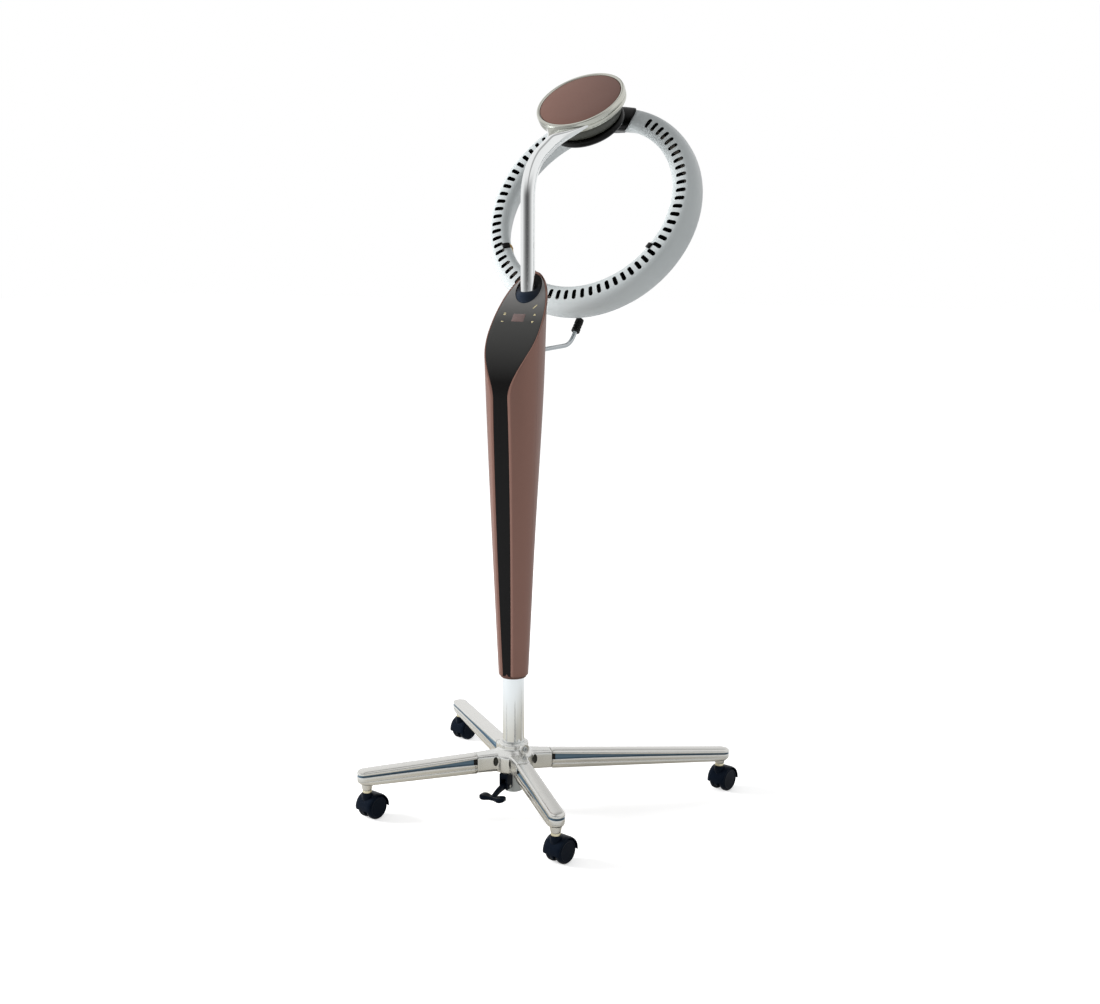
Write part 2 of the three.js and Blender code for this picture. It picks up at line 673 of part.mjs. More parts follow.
// Inner carriage that rides on the column, with the arm's socket on top
function addCarriage() {
  const inner = tubeRadius + slideGap / 2;
  const outer = inner + carriageWall;
  const carriage = turned([[inner, carriageLow], [outer, carriageLow], [outer, carriageTop], [0, carriageTop],
    [0, carriageTop - carriageCap], [inner, carriageTop - carriageCap]], largeRound);
  part('carriage_tube', carriage, steel);
  const low = carriageTop + gap;
  const seat = armFoot - gap;
  const edge = outer - socketInset;
  const backY = armSetback + armDiameter / 2 - armWall;
  const socket = across([[-edge, low], [edge, low], [backY, seat - socketHeight], [backY, seat],
    [armSetback - armDiameter / 2, seat], [-edge, low + carriageCap]], socketWidth);
  const spigot = rod(spigotRadius, seat - overlap, seat + spigotLength)
    .translate(0, armSetback, 0);
  part('arm_socket', join(socket, spigot), steel);
}

// The ring's lowest point below the disc's centre; the head rises with a hook that needs the room
const ringLean = (headTilt + ringTilt) * degree;
const ringReach = ringRadius * Math.sin(ringLean)
  + Math.hypot(ringHalfWidth * Math.sin(ringLean), ringHalfDepth * Math.cos(ringLean));
const ringUnder = ringOffset * Math.sin(headTilt * degree) + ringDrop * Math.cos(headTilt * degree) + ringReach;
const headY = headBehind;
const headZ = bodyBottom + Math.max(headRise, hookHeight + hookLift + hookRoom + ringUnder);
const discRadius = discDiameter / 2;
const panRadius = discRadius + gap + rimWidth;
const panBottom = rimLip - rimHeight;
const inHead = (out, up) => {
  const tilt = headTilt * degree;
  return inPlane(headY + out * Math.cos(tilt) - up * Math.sin(tilt),
    headZ + out * Math.sin(tilt) + up * Math.cos(tilt));
};

// The arm ends where it meets the head's neck
const neckEnd = inHead(-panRadius + rimWidth, panBottom / 2);
const armCorner = inPlane(armSetback,
  neckEnd.z - (neckEnd.y - armSetback) * Math.tan(armRise * degree));
const armLine = neckEnd.clone().sub(armCorner).normalize();
const armEnd = neckEnd.clone().addScaledVector(armLine, -neckLength);

function addArm() {
  const path = bentPath(inPlane(armSetback, armFoot), armCorner, armEnd, armBend);
  part('arm_tube', swept(path, armDiameter / 2, armSteps, armSides, armDiameter / 2 - armWall), chrome);
}

function addBoardAndGland() {
  const place = onSlope(boardRise, panelThickness + gap + ledgeWall + gap);
  const plate = new THREE.BoxGeometry(boardWidth, boardHeight, boardThickness)
    .translate(0, 0, -boardStandoff - boardThickness / 2);
  const pillars = [[-1, -1], [-1, 1], [1, -1], [1, 1]].map(([side, end]) =>
    rod(pillarDiameter / 2, -boardStandoff - boardThickness / 2, 0)
      .translate(side * (boardWidth / 2 - pillarInset), end * (boardHeight / 2 - pillarInset), 0));
  const board = join(plate, ...pillars).rotateX(slopeTurn).translate(0, place.y, place.z);
  part('control_board', board, boardGreen);
  const wallY = bodyFoot + (bodyBelly[1] - bodyFoot) * (glandHeight / bodyBelly[0]);
  const inside = wallY - bodyWall - overlap;
  const seat = wallY + glandSeat;
  const face = wallY + glandProud;
  const gland = turned([[glandBore / 2, inside], [glandDiameter / 2, inside], [glandDiameter / 2, seat],
    [glandFlange / 2, seat], [glandFlange / 2 - glandEdge, face], [glandBore / 2, face]], smallRound);
  part('cord_gland', gland.rotateX(-Math.PI / 2).translate(0, 0, bodyBottom + glandHeight), blackNylon);
}

function addHook() {
  const z = bodyBottom + hookHeight;
  const start = inPlane(armSetback + armDiameter / 2 + gap, z);
  const corner = inPlane(hookReach, z + hookLift);
  const end = along(corner.y, corner.z, hookTip, hookAngle);
  const path = bentPath(start, corner, end, hookBend);
  part('cord_hook', swept(path, hookDiameter / 2, hookSteps, hookSides), steel);
  const capTurn = (hookAngle - 90) * degree;
  const grip = hookDiameter / 2 + gap;
  const outer = capDiameter / 2;
  const top = capLength - capGrip;
  const cap = turned([[grip, -capGrip], [outer - capEdge / 2, -capGrip], [outer, capEdge - capGrip],
    [outer, top - capEdge], [outer - capEdge, top], [0, top], [0, gap], [grip, gap]], smallRound);
  part('hook_cap', cap.rotateX(capTurn).translate(0, end.y, end.z), blackNylon);
}

// Head: disc cover, chrome pan with its neck, motor housing, motor
const head = groupAt(0, headY, headZ, headTilt);
const panLedge = -discThickness - gap;
const panInside = panRadius - rimWidth + housingSeat;
const housingLipTop = panLedge - panFloor - gap;
const motorLow = panLedge - panFloor - gap - motorHeight;
const housingBase = panBottom - gap - motorHousingHeight;
const rotorTop = housingBase - rotorGap;
const rotorLow = rotorTop - rotorHeight;

function addHead() {
  part('disc_cover', turned([[0, -discThickness], [discRadius, -discThickness], [discRadius, -discEdge],
    [discRadius - discEdge, 0], [0, discCrown]], largeRound), brown, head);
  const pan = turned([[panHole / 2, panLedge - panFloor], [panHole / 2, panLedge], [discRadius + gap, panLedge],
    [discRadius + gap, 0], [discRadius + gap + rimEdge / 2, rimLip], [panRadius - rimEdge / 2, rimLip],
    [panRadius, rimLip - rimEdge], [panRadius, panBottom + rimEdge], [panRadius - rimEdge, panBottom],
    [panInside, panBottom], [panInside, panLedge - panFloor]], largeRound);
  const stretch = (from, to) => new THREE.LineCurve3(
    armEnd.clone().addScaledVector(armLine, from), armEnd.clone().addScaledVector(armLine, to));
  const inHeadFrame = (geometry) => geometry.translate(0, -headY, -headZ).rotateX(-headTilt * degree);
  const neck = inHeadFrame(swept(stretch(gap, neckLength), armDiameter / 2 + neckWall, 1, neckSides));
  const room = turned([[0, -far], [panInside, -far], [panInside, panLedge - panFloor],
    [discRadius, panLedge - panFloor], [discRadius, far], [0, far]], largeRound);
  const spigot = inHeadFrame(swept(stretch(-neckSpigot, neckRoot), spigotRadius, 1, armSides));
  part('head_pan', join(pan, join(cut(neck, room), spigot)), chrome, head);
  const outer = housingTop / 2;
  const shaftHole = shaftDiameter / 2 + slideGap;
  const wall = motorHousingWall;
  const taperTop = housingBase + housingTaper;
  const housing = turned([[shaftHole, housingBase], [housingBottom / 2, housingBase], [outer, taperTop],
    [outer, panBottom - gap], [panInside - gap, panBottom - gap], [panInside - gap, housingLipTop],
    [outer - wall, housingLipTop], [outer - wall, taperTop], [housingBottom / 2 - wall, housingBase + wall],
    [shaftHole, housingBase + wall]], largeRound);
  part('motor_housing', housing, darkGrey, head);
  const motor = rod(motorDiameter / 2, motorLow, panLedge - panFloor - gap, mediumRound);
  part('gear_motor', motor, steel, head);
}

// Ring heater and what turns it
const ring = groupAt(0, -ringOffset, -ringDrop, ringTilt, head);
const ringTop = [-ringOffset + ringRadius * Math.cos(ringTilt * degree),
  -ringDrop + ringRadius * Math.sin(ringTilt * degree)];
const sectionAngles = [0, 36, 90 - slotFlat, 90 + slotFlat, 144, 180];

function sectionPoint(angle, inset) {
  return [ringRadius + (ringHalfWidth - inset) * Math.cos(angle * degree),
    (ringHalfDepth - inset) * Math.sin(angle * degree)];
}

function ringShell() {
  const outside = sectionAngles.map((angle) => sectionPoint(angle, 0));
  const inside = [180, 120, 60, 0].map((angle) => sectionPoint(angle, ringWall));
  const lifted = [...outside, ...inside].map(([radius, height]) => [radius, height + gap / 2]);
  return turned(lifted, ringSteps);
}

// The whole ring's outside, grown by a margin, as a tool
function ringForm(margin) {
  const front = sectionAngles.map((angle) => sectionPoint(angle, -margin));
  const rear = sectionAngles.slice(1, -1).map((angle) => sectionPoint(angle + 180, -margin));
  return turned([...front, ...rear], ringSteps);
}

const clipTurns = Array.from({ length: heaterCount }, (_, i) => i * 360 / heaterCount);

// A clip sits on the ring's inner band, at the top until it is turned into place
function clipBlock(slack) {
  const inner = ringRadius - ringHalfWidth - clipProud - slack;
  const outer = ringRadius + clipCover + slack;
  const half = clipWidth / 2 + slack;
  return block(-half, half, inner, outer, -clipHeight / 2 - slack, clipHeight / 2 + slack);
}

function addRing() {
  const clipRooms = clipTurns.map((turn) => clipBlock(gap).rotateZ(turn * degree));
  const slots = [];
  for (let turn = slotClear; turn <= 360 - slotClear; turn += slotPitch) {
    const slot = block(-slotWidth / 2, slotWidth / 2, ringRadius - slotLength / 2, ringRadius + slotLength / 2,
      ringHalfDepth / 2, ringHalfDepth * 2);
    slots.push(slot.rotateZ((turn + slotPitch / 2) * degree));
  }
  part('ring_front', cut(ringShell(), ...clipRooms, ...slots), ringGrey, ring);
  part('ring_rear', cut(ringShell().rotateX(Math.PI), ...clipRooms), ringGrey, ring);
  clipTurns.forEach((turn, i) => {
    const clip = part(`heater_clip_${i + 1}`, clipBlock(0), blackNylon, ring);
    clip.rotation.z = turn * degree;
  });
  const clipShare = Math.asin((clipWidth / 2 + 2 * gap) / (ringRadius - heaterDiameter / 2)) / degree;
  clipTurns.forEach((turn, i) => {
    const from = turn + 90 + clipShare;
    const to = turn + 90 + 360 / heaterCount - clipShare;
    const points = Array.from({ length: heaterSteps + 1 }, (_, k) => {
      const angle = (from + (to - from) * k / heaterSteps) * degree;
      return new THREE.Vector3(ringRadius * Math.cos(angle), ringRadius * Math.sin(angle), 0);
    });
    const tube = swept(new THREE.CatmullRomCurve3(points), heaterDiameter / 2, heaterSteps, heaterSides);
    part(`heater_tube_${i + 1}`, tube, quartz, ring);
  });
}

function addRotor() {
  const radius = rotorDiameter / 2;
  const bore = shaftDiameter / 2 + gap;
  const disc = turned([[bore, rotorLow], [radius - rotorEdge, rotorLow], [radius, rotorLow + rotorEdge],
    [radius, rotorTop - rotorTopEdge], [radius - rotorTopEdge, rotorTop], [bore, rotorTop]], largeRound);
  part('rotor_disc', disc, blackNylon, head);
  part('rotor_shaft', rod(shaftDiameter / 2, rotorLow, motorLow - gap), steel, head);
  const [topY, topZ] = ringTop;
  const web = across([[bracketStart, rotorLow - gap], [topY, topZ - ringHalfWidth / 2],
    [topY + ringHalfWidth / 2, topZ], [radius - rotorEdge, rotorLow - gap]], bracketBlock);
  const ringPlace = (geometry) => geometry.rotateX(ringTilt * degree).translate(0, -ringOffset, -ringDrop);
  const span = ringRadius * Math.sin(clampAngle * degree);
  const topRoom = block(-span, span, 0, far, -far, far);
  const sleeve = ringPlace(common(ringForm(clampWall), topRoom));
  const discRoom = block(-far, far, -far, far, rotorLow - gap, far);
  const rooms = [ringForm(2 * gap), clipBlock(gap)].map(ringPlace);
  const clamp = cut(join(web, sleeve), ...rooms, discRoom);
  part('ring_bracket', clamp, blackNylon, head);
}

addBase();
addCasters();
addGasSpring();
addPedal();
addBody();
addCarriage();
addArm();
addBoardAndGland();
addHook();
addHead();
addRing();
addRotor();

// The origin is on the floor under the middle of the whole
const root = new THREE.Group();
root.add(model);
root.updateMatrixWorld(true);
const middle = new THREE.Box3().setFromObject(model, true).getCenter(new THREE.Vector3());
model.position.set(-middle.x, -middle.y, 0);

export default root;
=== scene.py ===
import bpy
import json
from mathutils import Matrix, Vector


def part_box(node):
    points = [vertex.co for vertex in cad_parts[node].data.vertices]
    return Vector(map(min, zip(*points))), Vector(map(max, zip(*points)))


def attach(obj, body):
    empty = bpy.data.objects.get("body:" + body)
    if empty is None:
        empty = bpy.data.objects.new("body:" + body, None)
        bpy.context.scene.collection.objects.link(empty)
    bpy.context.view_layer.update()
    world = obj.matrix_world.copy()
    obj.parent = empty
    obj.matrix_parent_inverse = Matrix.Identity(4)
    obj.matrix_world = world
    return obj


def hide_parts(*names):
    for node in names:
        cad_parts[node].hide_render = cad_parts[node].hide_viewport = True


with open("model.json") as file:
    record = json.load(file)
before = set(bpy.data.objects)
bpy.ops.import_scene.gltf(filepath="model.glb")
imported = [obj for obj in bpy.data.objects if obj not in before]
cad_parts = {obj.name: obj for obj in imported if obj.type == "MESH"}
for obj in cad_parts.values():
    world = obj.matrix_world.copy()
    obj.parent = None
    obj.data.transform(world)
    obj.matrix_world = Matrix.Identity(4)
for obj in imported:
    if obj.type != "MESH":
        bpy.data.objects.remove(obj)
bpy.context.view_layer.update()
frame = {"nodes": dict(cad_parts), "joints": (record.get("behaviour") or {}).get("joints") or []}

import json

import bmesh
import bpy
import numpy as np
from mathutils import Matrix, Vector

# Shapes are worked out in millimetres about the column's axis, Z up from the floor
mm = 0.001
joints = {joint["name"]: joint for joint in frame["joints"]}
alongX = np.array([[0, 1, 0], [0, 0, 1], [1, 0, 0]])  # lays a shape's own z along x
alongY = np.array([[1, 0, 0], [0, 0, -1], [0, 1, 0]])  # and along y
unitSquare = np.array([[-1, -1], [1, -1], [1, 1], [-1, 1]], float)


def boxOf(node):
    low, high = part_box(node)
    return np.array(low) / mm, np.array(high) / mm


columnAxis = sum(boxOf("column_tube")) / 2 * (1, 1, 0)


def jointAt(name):
    return np.array(joints[name]["pos_m"]) / mm - columnAxis


def heightsOf(node):
    low, high = boxOf(node)
    return low[2], high[2]


# Lines and surfaces as arrays
def fullTurn(steps):
    return np.linspace(0, 2 * np.pi, steps, endpoint=False)


def smooth(value, low, high):
    # an even step from 0 at low to 1 at high
    t = np.clip((value - low) / (high - low), 0, 1)
    return t * t * (3 - 2 * t)


def curve(t, first, middle, last):
    # a quadratic curve that leaves the first point towards the middle one and comes from there to the last
    return (1 - t) ** 2 * first + 2 * t * (1 - t) * middle + t ** 2 * last


def softened(corners, cut, steps=5, closed=False):
    # each corner becomes a quadratic curve that starts and ends a cut's length away from it
    corners = np.array(corners, float)
    cuts = np.broadcast_to(cut, len(corners))
    t = np.linspace(0, 1, steps + 1)[:, None]
    line = []
    for i, corner in enumerate(corners):
        before = corners[i - 1] - corner
        after = corners[(i + 1) % len(corners)] - corner
        lengths = np.linalg.norm([before, after], axis=1)
        reach = min(cuts[i], 0.49 * lengths.min())  # two cuts never meet on one side
        if reach < 1e-6 or not closed and i in (0, len(corners) - 1):
            line.append(corner[None])
            continue
        start = corner + before / lengths[0] * reach
        stop = corner + after / lengths[1] * reach
        line.append(curve(t, start, corner, stop))
    return np.concatenate(line)


def surface(points, wrapRows=False, wrapColumns=False):
    # a grid of points as vertices, and a quad between each four neighbours
    rows, columns = points.shape[:2]
    row, column = np.meshgrid(np.arange(rows - (not wrapRows)), np.arange(columns - (not wrapColumns)),
                              indexing="ij")
    nextRow = (row + 1) % rows * columns
    nextColumn = (column + 1) % columns
    row = row * columns
    quads = np.stack([row + column, row + nextColumn, nextRow + nextColumn, nextRow + column], -1)
    return points.reshape(-1, 3), quads.reshape(-1, 4)


def closedTube(loops):
    # a skin over loops of points, whose first and last loops close to their middles
    ends = [loops[[i]].mean(1, keepdims=True) + 0 * loops[[i]] for i in (0, -1)]
    return surface(np.concatenate([ends[0], loops, ends[1]]), wrapColumns=True)


def joined(*shapes):
    starts = np.cumsum([0] + [len(points) for points, faces in shapes[:-1]])
    return (np.concatenate([points for points, faces in shapes]),
            np.concatenate([faces + start for (points, faces), start in zip(shapes, starts)]))


def moved(shape, origin, axes=np.eye(3)):
    # local x, y and z run along the three rows of axes
    points, faces = shape
    return points @ np.array(axes) + origin, faces


def turned(profile, steps=96, closed=False):
    # a [radius, height] line carried round Z
    angle = fullTurn(steps)
    radius, height = np.asarray(profile, float).T[:, :, None]
    points = np.stack([radius * np.cos(angle), radius * np.sin(angle), height + 0 * angle], -1)
    return surface(points, wrapRows=closed, wrapColumns=True)


def alongPath(path, across, up):
    # section offsets across x and square to a [y, z] path, one row for each point of the path
    slope = np.gradient(path, axis=0)
    slope /= np.linalg.norm(slope, axis=1, keepdims=True)
    y = path[:, :1] - up * slope[:, 1:]
    z = path[:, 1:] + up * slope[:, :1]
    return np.stack([across + 0 * y, y, z], -1)


def roundedBlock(centre, half, edge, steps=4):
    # a ball's grid parted at its three middle planes, so that flats and rounded edges appear
    quarter = np.linspace(0, np.pi / 2, steps + 1)
    lon = np.concatenate([quarter + k * np.pi / 2 for k in range(4)])
    lat = np.concatenate([quarter - np.pi / 2, quarter])[:, None]
    signX = np.repeat([1, -1, -1, 1], steps + 1)
    signY = np.repeat([1, 1, -1, -1], steps + 1)
    signZ = np.repeat([-1, 1], steps + 1)[:, None]
    ball = np.stack([np.cos(lat) * np.cos(lon), np.cos(lat) * np.sin(lon), np.sin(lat) + 0 * lon], -1)
    corner = np.stack([signX + 0 * signZ, signY + 0 * signZ, signZ + 0 * signX], -1)
    return closedTube(corner * (np.array(half) - edge) + edge * ball + centre)


# Pieces from surfaces
def cleanMesh(mesh):
    work = bmesh.new()
    work.from_mesh(mesh)
    bmesh.ops.remove_doubles(work, verts=work.verts, dist=1e-6)
    bmesh.ops.dissolve_degenerate(work, edges=work.edges, dist=1e-7)
    if all(edge.is_manifold for edge in work.edges):
        bmesh.ops.recalc_face_normals(work, faces=work.faces)  # open skins already face out
    work.to_mesh(mesh)
    work.free()


def newMesh(name, shape, finishes, kinds=None):
    # kinds: for each face, which of the finishes it takes
    points, faces = shape
    mesh = bpy.data.meshes.new(name)
    mesh.from_pydata(((points + columnAxis) * mm).tolist(), [], faces.tolist())
    for finish in finishes:
        mesh.materials.append(looks[finish])
    if kinds is not None:
        mesh.polygons.foreach_set("material_index", kinds)
    cleanMesh(mesh)
    item = bpy.data.objects.new(name, mesh)
    bpy.context.scene.collection.objects.link(item)
    return item


def withModifiers(item, *steps):
    # the modifiers go on in turn and then become the mesh itself
    for kind, values in steps:
        modifier = item.modifiers.new(kind.title(), kind)
        for key, value in values.items():
            setattr(modifier, key, value)
    depsgraph = bpy.context.evaluated_depsgraph_get()
    depsgraph.update()
    mesh = bpy.data.meshes.new_from_object(item.evaluated_get(depsgraph))
    item.modifiers.clear()
    item.data = mesh


def dress(item, body, nodes=(), sharp=35):
    item.data.shade_smooth()
    item.data.set_sharp_from_angle(angle=np.radians(sharp))
    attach(item, body)
    if nodes:
        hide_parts(*nodes)


def newPiece(name, shape, finishes, body, nodes=(), sharp=35, modifiers=(), kinds=None):
    item = newMesh(name, shape, finishes, kinds)
    if modifiers:
        withModifiers(item, *modifiers)
    dress(item, body, nodes, sharp)


# Finishes
def tint(code):
    # a hex colour as linear light
    part = np.array([int(code[i:i + 2], 16) for i in (1, 3, 5)]) / 255
    light = np.where(part < 0.04045, part / 12.92, ((part + 0.055) / 1.055) ** 2.4)
    return (*light, 1.0)


def addNode(tree, kind, values=None, **settings):
    node = tree.nodes.new(kind)
    for key, value in settings.items():
        setattr(node, key, value)
    for key, value in (values or {}).items():
        node.inputs[key].default_value = value
    return node


def addRange(tree, source, result=(0.0, 1.0), kind="SMOOTHSTEP"):
    # a value's run from low to high, carried over to the result's run
    ends = zip(("From Min", "From Max", "To Min", "To Max"), (*source, *result))
    return addNode(tree, "ShaderNodeMapRange", dict(ends), interpolation_type=kind)


def addMath(tree, operation, values=None):
    return addNode(tree, "ShaderNodeMath", values, operation=operation)


def link(tree, *wires):
    # each wire: a node and its output, a node and its input
    for source, output, target, entry in wires:
        tree.links.new(source.outputs[output], target.inputs[entry])


def newGroup(name, inputs, outputs):
    # an input is a number, a vector or a colour by the size of its first value
    kinds = {1: "NodeSocketFloat", 3: "NodeSocketVector", 4: "NodeSocketColor"}
    group = bpy.data.node_groups.new(name, "ShaderNodeTree")
    for label, value in inputs.items():
        socket = group.interface.new_socket(name=label, in_out="INPUT", socket_type=kinds[np.size(value)])
        socket.default_value = value
    for label, kind in outputs.items():
        group.interface.new_socket(name=label, in_out="OUTPUT", socket_type=kind)
    return group, group.nodes.new("NodeGroupInput"), group.nodes.new("NodeGroupOutput")


def toneDriftGroup():
    # a colour made a little lighter and darker by broad soft noise
    group, given, made = newGroup("toneDrift", {"Color": (0.5, 0.5, 0.5, 1), "Scale": 12.0, "Amount": 0.06},
                                  {"Color": "NodeSocketColor"})
    place = addNode(group, "ShaderNodeTexCoord")
    cloud = addNode(group, "ShaderNodeTexNoise", {"Detail": 4.0, "Roughness": 0.55})
    shift = addMath(group, "SUBTRACT", {1: 0.5})
    share = addMath(group, "MULTIPLY")
    level = addMath(group, "ADD", {1: 1.0})
    scaled = addNode(group, "ShaderNodeVectorMath", operation="SCALE")
    link(group, (place, "Object", cloud, "Vector"), (given, "Scale", cloud, "Scale"),
         (cloud, "Fac", shift, 0), (shift, 0, share, 0), (given, "Amount", share, 1), (share, 0, level, 0),
         (given, "Color", scaled, "Vector"), (level, 0, scaled, "Scale"), (scaled, "Vector", made, "Color"))
    return group


textureOutputs = {"Height": "NodeSocketFloat", "Roughness": "NodeSocketFloat"}


def wanderingRoughness(group, given, made, noise):
    # the given roughness plus the noise's way from its middle, times the spread
    shift = addMath(group, "SUBTRACT", {1: 0.5})
    level = addMath(group, "MULTIPLY_ADD")
    link(group, (noise, "Fac", shift, 0), (shift, 0, level, 0), (given, "Spread", level, 1),
         (given, "Roughness", level, 2), (level, 0, made, "Roughness"))


def fineGrainGroup():
    # small noise as a bump height, and broad noise for the roughness
    first = {"Scale": 900.0, "Roughness": 0.4, "Spread": 0.1}
    group, given, made = newGroup("fineGrain", first, textureOutputs)
    place = addNode(group, "ShaderNodeTexCoord")
    fine = addNode(group, "ShaderNodeTexNoise", {"Detail": 2.0})
    broad = addNode(group, "ShaderNodeTexNoise", {"Scale": 26.0, "Detail": 3.0})
    link(group, (place, "Object", fine, "Vector"), (place, "Object", broad, "Vector"),
         (given, "Scale", fine, "Scale"), (fine, "Fac", made, "Height"))
    wanderingRoughness(group, given, made, broad)
    return group


def drawnLinesGroup():
    # noise stretched along one direction, as on drawn or polished metal
    first = {"Stretch": (400.0, 400.0, 4.0), "Roughness": 0.1, "Spread": 0.06}
    group, given, made = newGroup("drawnLines", first, textureOutputs)
    place = addNode(group, "ShaderNodeTexCoord")
    pull = addNode(group, "ShaderNodeVectorMath", operation="MULTIPLY")
    lines = addNode(group, "ShaderNodeTexNoise", {"Scale": 1.0, "Detail": 3.0})
    link(group, (place, "Object", pull, 0), (given, "Stretch", pull, 1), (pull, 0, lines, "Vector"),
         (lines, "Fac", made, "Height"))
    wanderingRoughness(group, given, made, lines)
    return group


groups = {"toneDrift": toneDriftGroup(), "fineGrain": fineGrainGroup(), "drawnLines": drawnLinesGroup()}


def grain(scale, roughness, spread):
    return "fineGrain", {"Scale": scale, "Roughness": roughness, "Spread": spread}


def drawn(stretch, roughness, spread):
    return "drawnLines", {"Stretch": stretch, "Roughness": roughness, "Spread": spread}


# Each finish: colour, scale and amount of its drift, texture, strength and depth of its bump, shader values
upLines = (500.0, 500.0, 6.0)
levelLines = (60.0, 60.0, 900.0)
metal = {"Metallic": 1.0}
brass = {"Metallic": 0.9}
paintCoat = {"Metallic": 0.55, "Coat Weight": 0.1, "Coat Roughness": 0.3}
finishes = {
    "brownPaint": ("#856257", (9, 0.05), grain(2600, 0.4, 0.08), (0.06, 0.0002), paintCoat),
    "bushBrown": ("#5a3b33", (20, 0.08), grain(1500, 0.5, 0.08), (0.08, 0.0002)),
    "chromePlate": ("#eceeee", (16, 0.03), drawn(upLines, 0.09, 0.05), (0.01, 0.0001), metal),
    "rimMetal": ("#c3c3ba", (20, 0.05), drawn(levelLines, 0.13, 0.06), (0.01, 0.0001), metal),
    "columnChrome": ("#f1f4f5", (16, 0.03), drawn(upLines, 0.11, 0.05), (0.015, 0.0001), metal),
    "castAluminium": ("#dbdbd8", (40, 0.05), grain(700, 0.2, 0.1), (0.04, 0.0003), {"Metallic": 0.9}),
    "legAluminium": ("#d8d7d3", (30, 0.05), drawn(levelLines, 0.2, 0.1), (0.02, 0.0001), {"Metallic": 0.95}),
    "blackNylon": ("#050505", (60, 0.2), grain(1300, 0.34, 0.14), (0.12, 0.0002),
                   {"Specular IOR Level": 0.15}),
    "casterNylon": ("#0a101a", (60, 0.2), grain(1300, 0.3, 0.12), (0.1, 0.0002),
                    {"Specular IOR Level": 0.1, "Specular Tint": (0.5, 0.7, 1.0, 1.0)}),
    "navyRubber": ("#151d29", (50, 0.15), grain(1700, 0.5, 0.12), (0.15, 0.0002),
                   {"Specular IOR Level": 0.2}),
    "ringPlastic": ("#bec4c5", (10, 0.02), grain(2200, 0.4, 0.06), (0.03, 0.0002)),
    # near-black: painted shade inside the ring, in its slots and at the open ends of the leg grooves
    "paintedShade": ("#0b0c0d", (50, 0.2), grain(900, 0.7, 0.1), (0.1, 0.0002)),
    "housingGrey": ("#3d3e37", (20, 0.1), grain(1800, 0.42, 0.1), (0.1, 0.0002), {"Metallic": 0.2}),
    "cupGrey": ("#aeb3b3", (20, 0.1), drawn(upLines, 0.35, 0.1), (0.05, 0.0002), {"Metallic": 0.3}),
    # dark slate: painted shade in the leg grooves
    "grooveShade": ("#5f788a", (30, 0.12), drawn(levelLines, 0.3, 0.1), (0.03, 0.0001), {"Metallic": 0.4}),
    "steelRod": ("#b4b9bc", (30, 0.05), drawn(levelLines, 0.25, 0.1), (0.02, 0.0001), metal),
    "paleBrass": ("#e6dfc4", (60, 0.08), drawn(levelLines, 0.25, 0.1), (0.03, 0.0001), brass),
    "screwBrass": ("#b0925a", (90, 0.1), drawn(levelLines, 0.25, 0.1), (0.03, 0.0001), brass),
    "quartz": ("#d8cfc4", (40, 0.06), grain(800, 0.2, 0.1), (0.02, 0.0001)),
    "displayGlass": ("#5b4643", (80, 0.1), grain(700, 0.16, 0.05), (0.01, 0.0001),
                     {"Coat Weight": 0.5, "Coat Roughness": 0.05}),
    "boardGreen": ("#2d4a36", (120, 0.3), grain(500, 0.6, 0.1), (0.2, 0.0003)),
    "keyGold": ("#c9bd93", (200, 0.1), grain(900, 0.5, 0.1), (0.02, 0.0001)),
    "glossPanel": ("#171717", (14, 0.06), grain(900, 0.22, 0.05), (0.01, 0.0001),
                   {"Specular IOR Level": 0.1}),
    "discPaint": ("#7f5d53", (9, 0.05), grain(2600, 0.4, 0.08), (0.06, 0.0002), paintCoat),
}
# Finishes whose colour runs along an axis, from low to high in metres: painted light and shade
paintedLightRamps = {
    # control face: painted reflection, lighter grey up the slope over near-black at the foot
    "glossPanel": ("Z", 0.86, 1.06, [(0, "#100f0f"), (0.55, "#3e3e3d"), (0.85, "#747372"), (1, "#b6b4b2")]),
    # disc: painted shade, lighter on the lamp's side at low X and darker at high X
    "discPaint": ("X", -0.09, 0.09, [(0, "#835c4f"), (1, "#603f35")]),
    # boot: painted shade, navy in front fading to black behind the arm
    "navyRubber": ("Y", -0.078, -0.046,
                   [(0, "#16212f"), (0.45, "#0b121d"), (0.75, "#030405"), (1, "#020202")]),
}


def newLook(name, color, drift, texture, bump, values=None):
    look = bpy.data.materials.new(name)
    look.use_nodes = True
    tree = look.node_tree
    shader = tree.nodes["Principled BSDF"]
    for key, value in (values or {}).items():
        shader.inputs[key].default_value = value
    shade = {"Color": tint(color), "Scale": drift[0], "Amount": drift[1]}
    tone = addNode(tree, "ShaderNodeGroup", shade, node_tree=groups["toneDrift"], name="tone")
    kind, inputs = texture
    pattern = addNode(tree, "ShaderNodeGroup", inputs, node_tree=groups[kind])
    raised = addNode(tree, "ShaderNodeBump", {"Strength": bump[0], "Distance": bump[1]})
    link(tree, (tone, "Color", shader, "Base Color"), (pattern, "Roughness", shader, "Roughness"),
         (pattern, "Height", raised, "Height"), (raised, "Normal", shader, "Normal"))
    return look


def fadeAlong(look, axis, low, high, stops):
    # the colour runs through the stops along one axis of the object
    tree = look.node_tree
    place = addNode(tree, "ShaderNodeTexCoord")
    part = addNode(tree, "ShaderNodeSeparateXYZ")
    share = addRange(tree, (low, high), kind="LINEAR")
    fade = addNode(tree, "ShaderNodeValToRGB")
    ramp = fade.color_ramp.elements
    ramp[0].color, ramp[1].color = tint(stops[0][1]), tint(stops[-1][1])
    for position, color in stops[1:-1]:
        ramp.new(position).color = tint(color)
    link(tree, (place, "Object", part, 0), (part, axis, share, "Value"), (share, "Result", fade, "Fac"),
         (fade, "Color", tree.nodes["tone"], "Color"))


looks = {name: newLook(name, *finish) for name, finish in finishes.items()}
for name, fade in paintedLightRamps.items():
    fadeAlong(looks[name], *fade)
print("finishes:", len(looks))

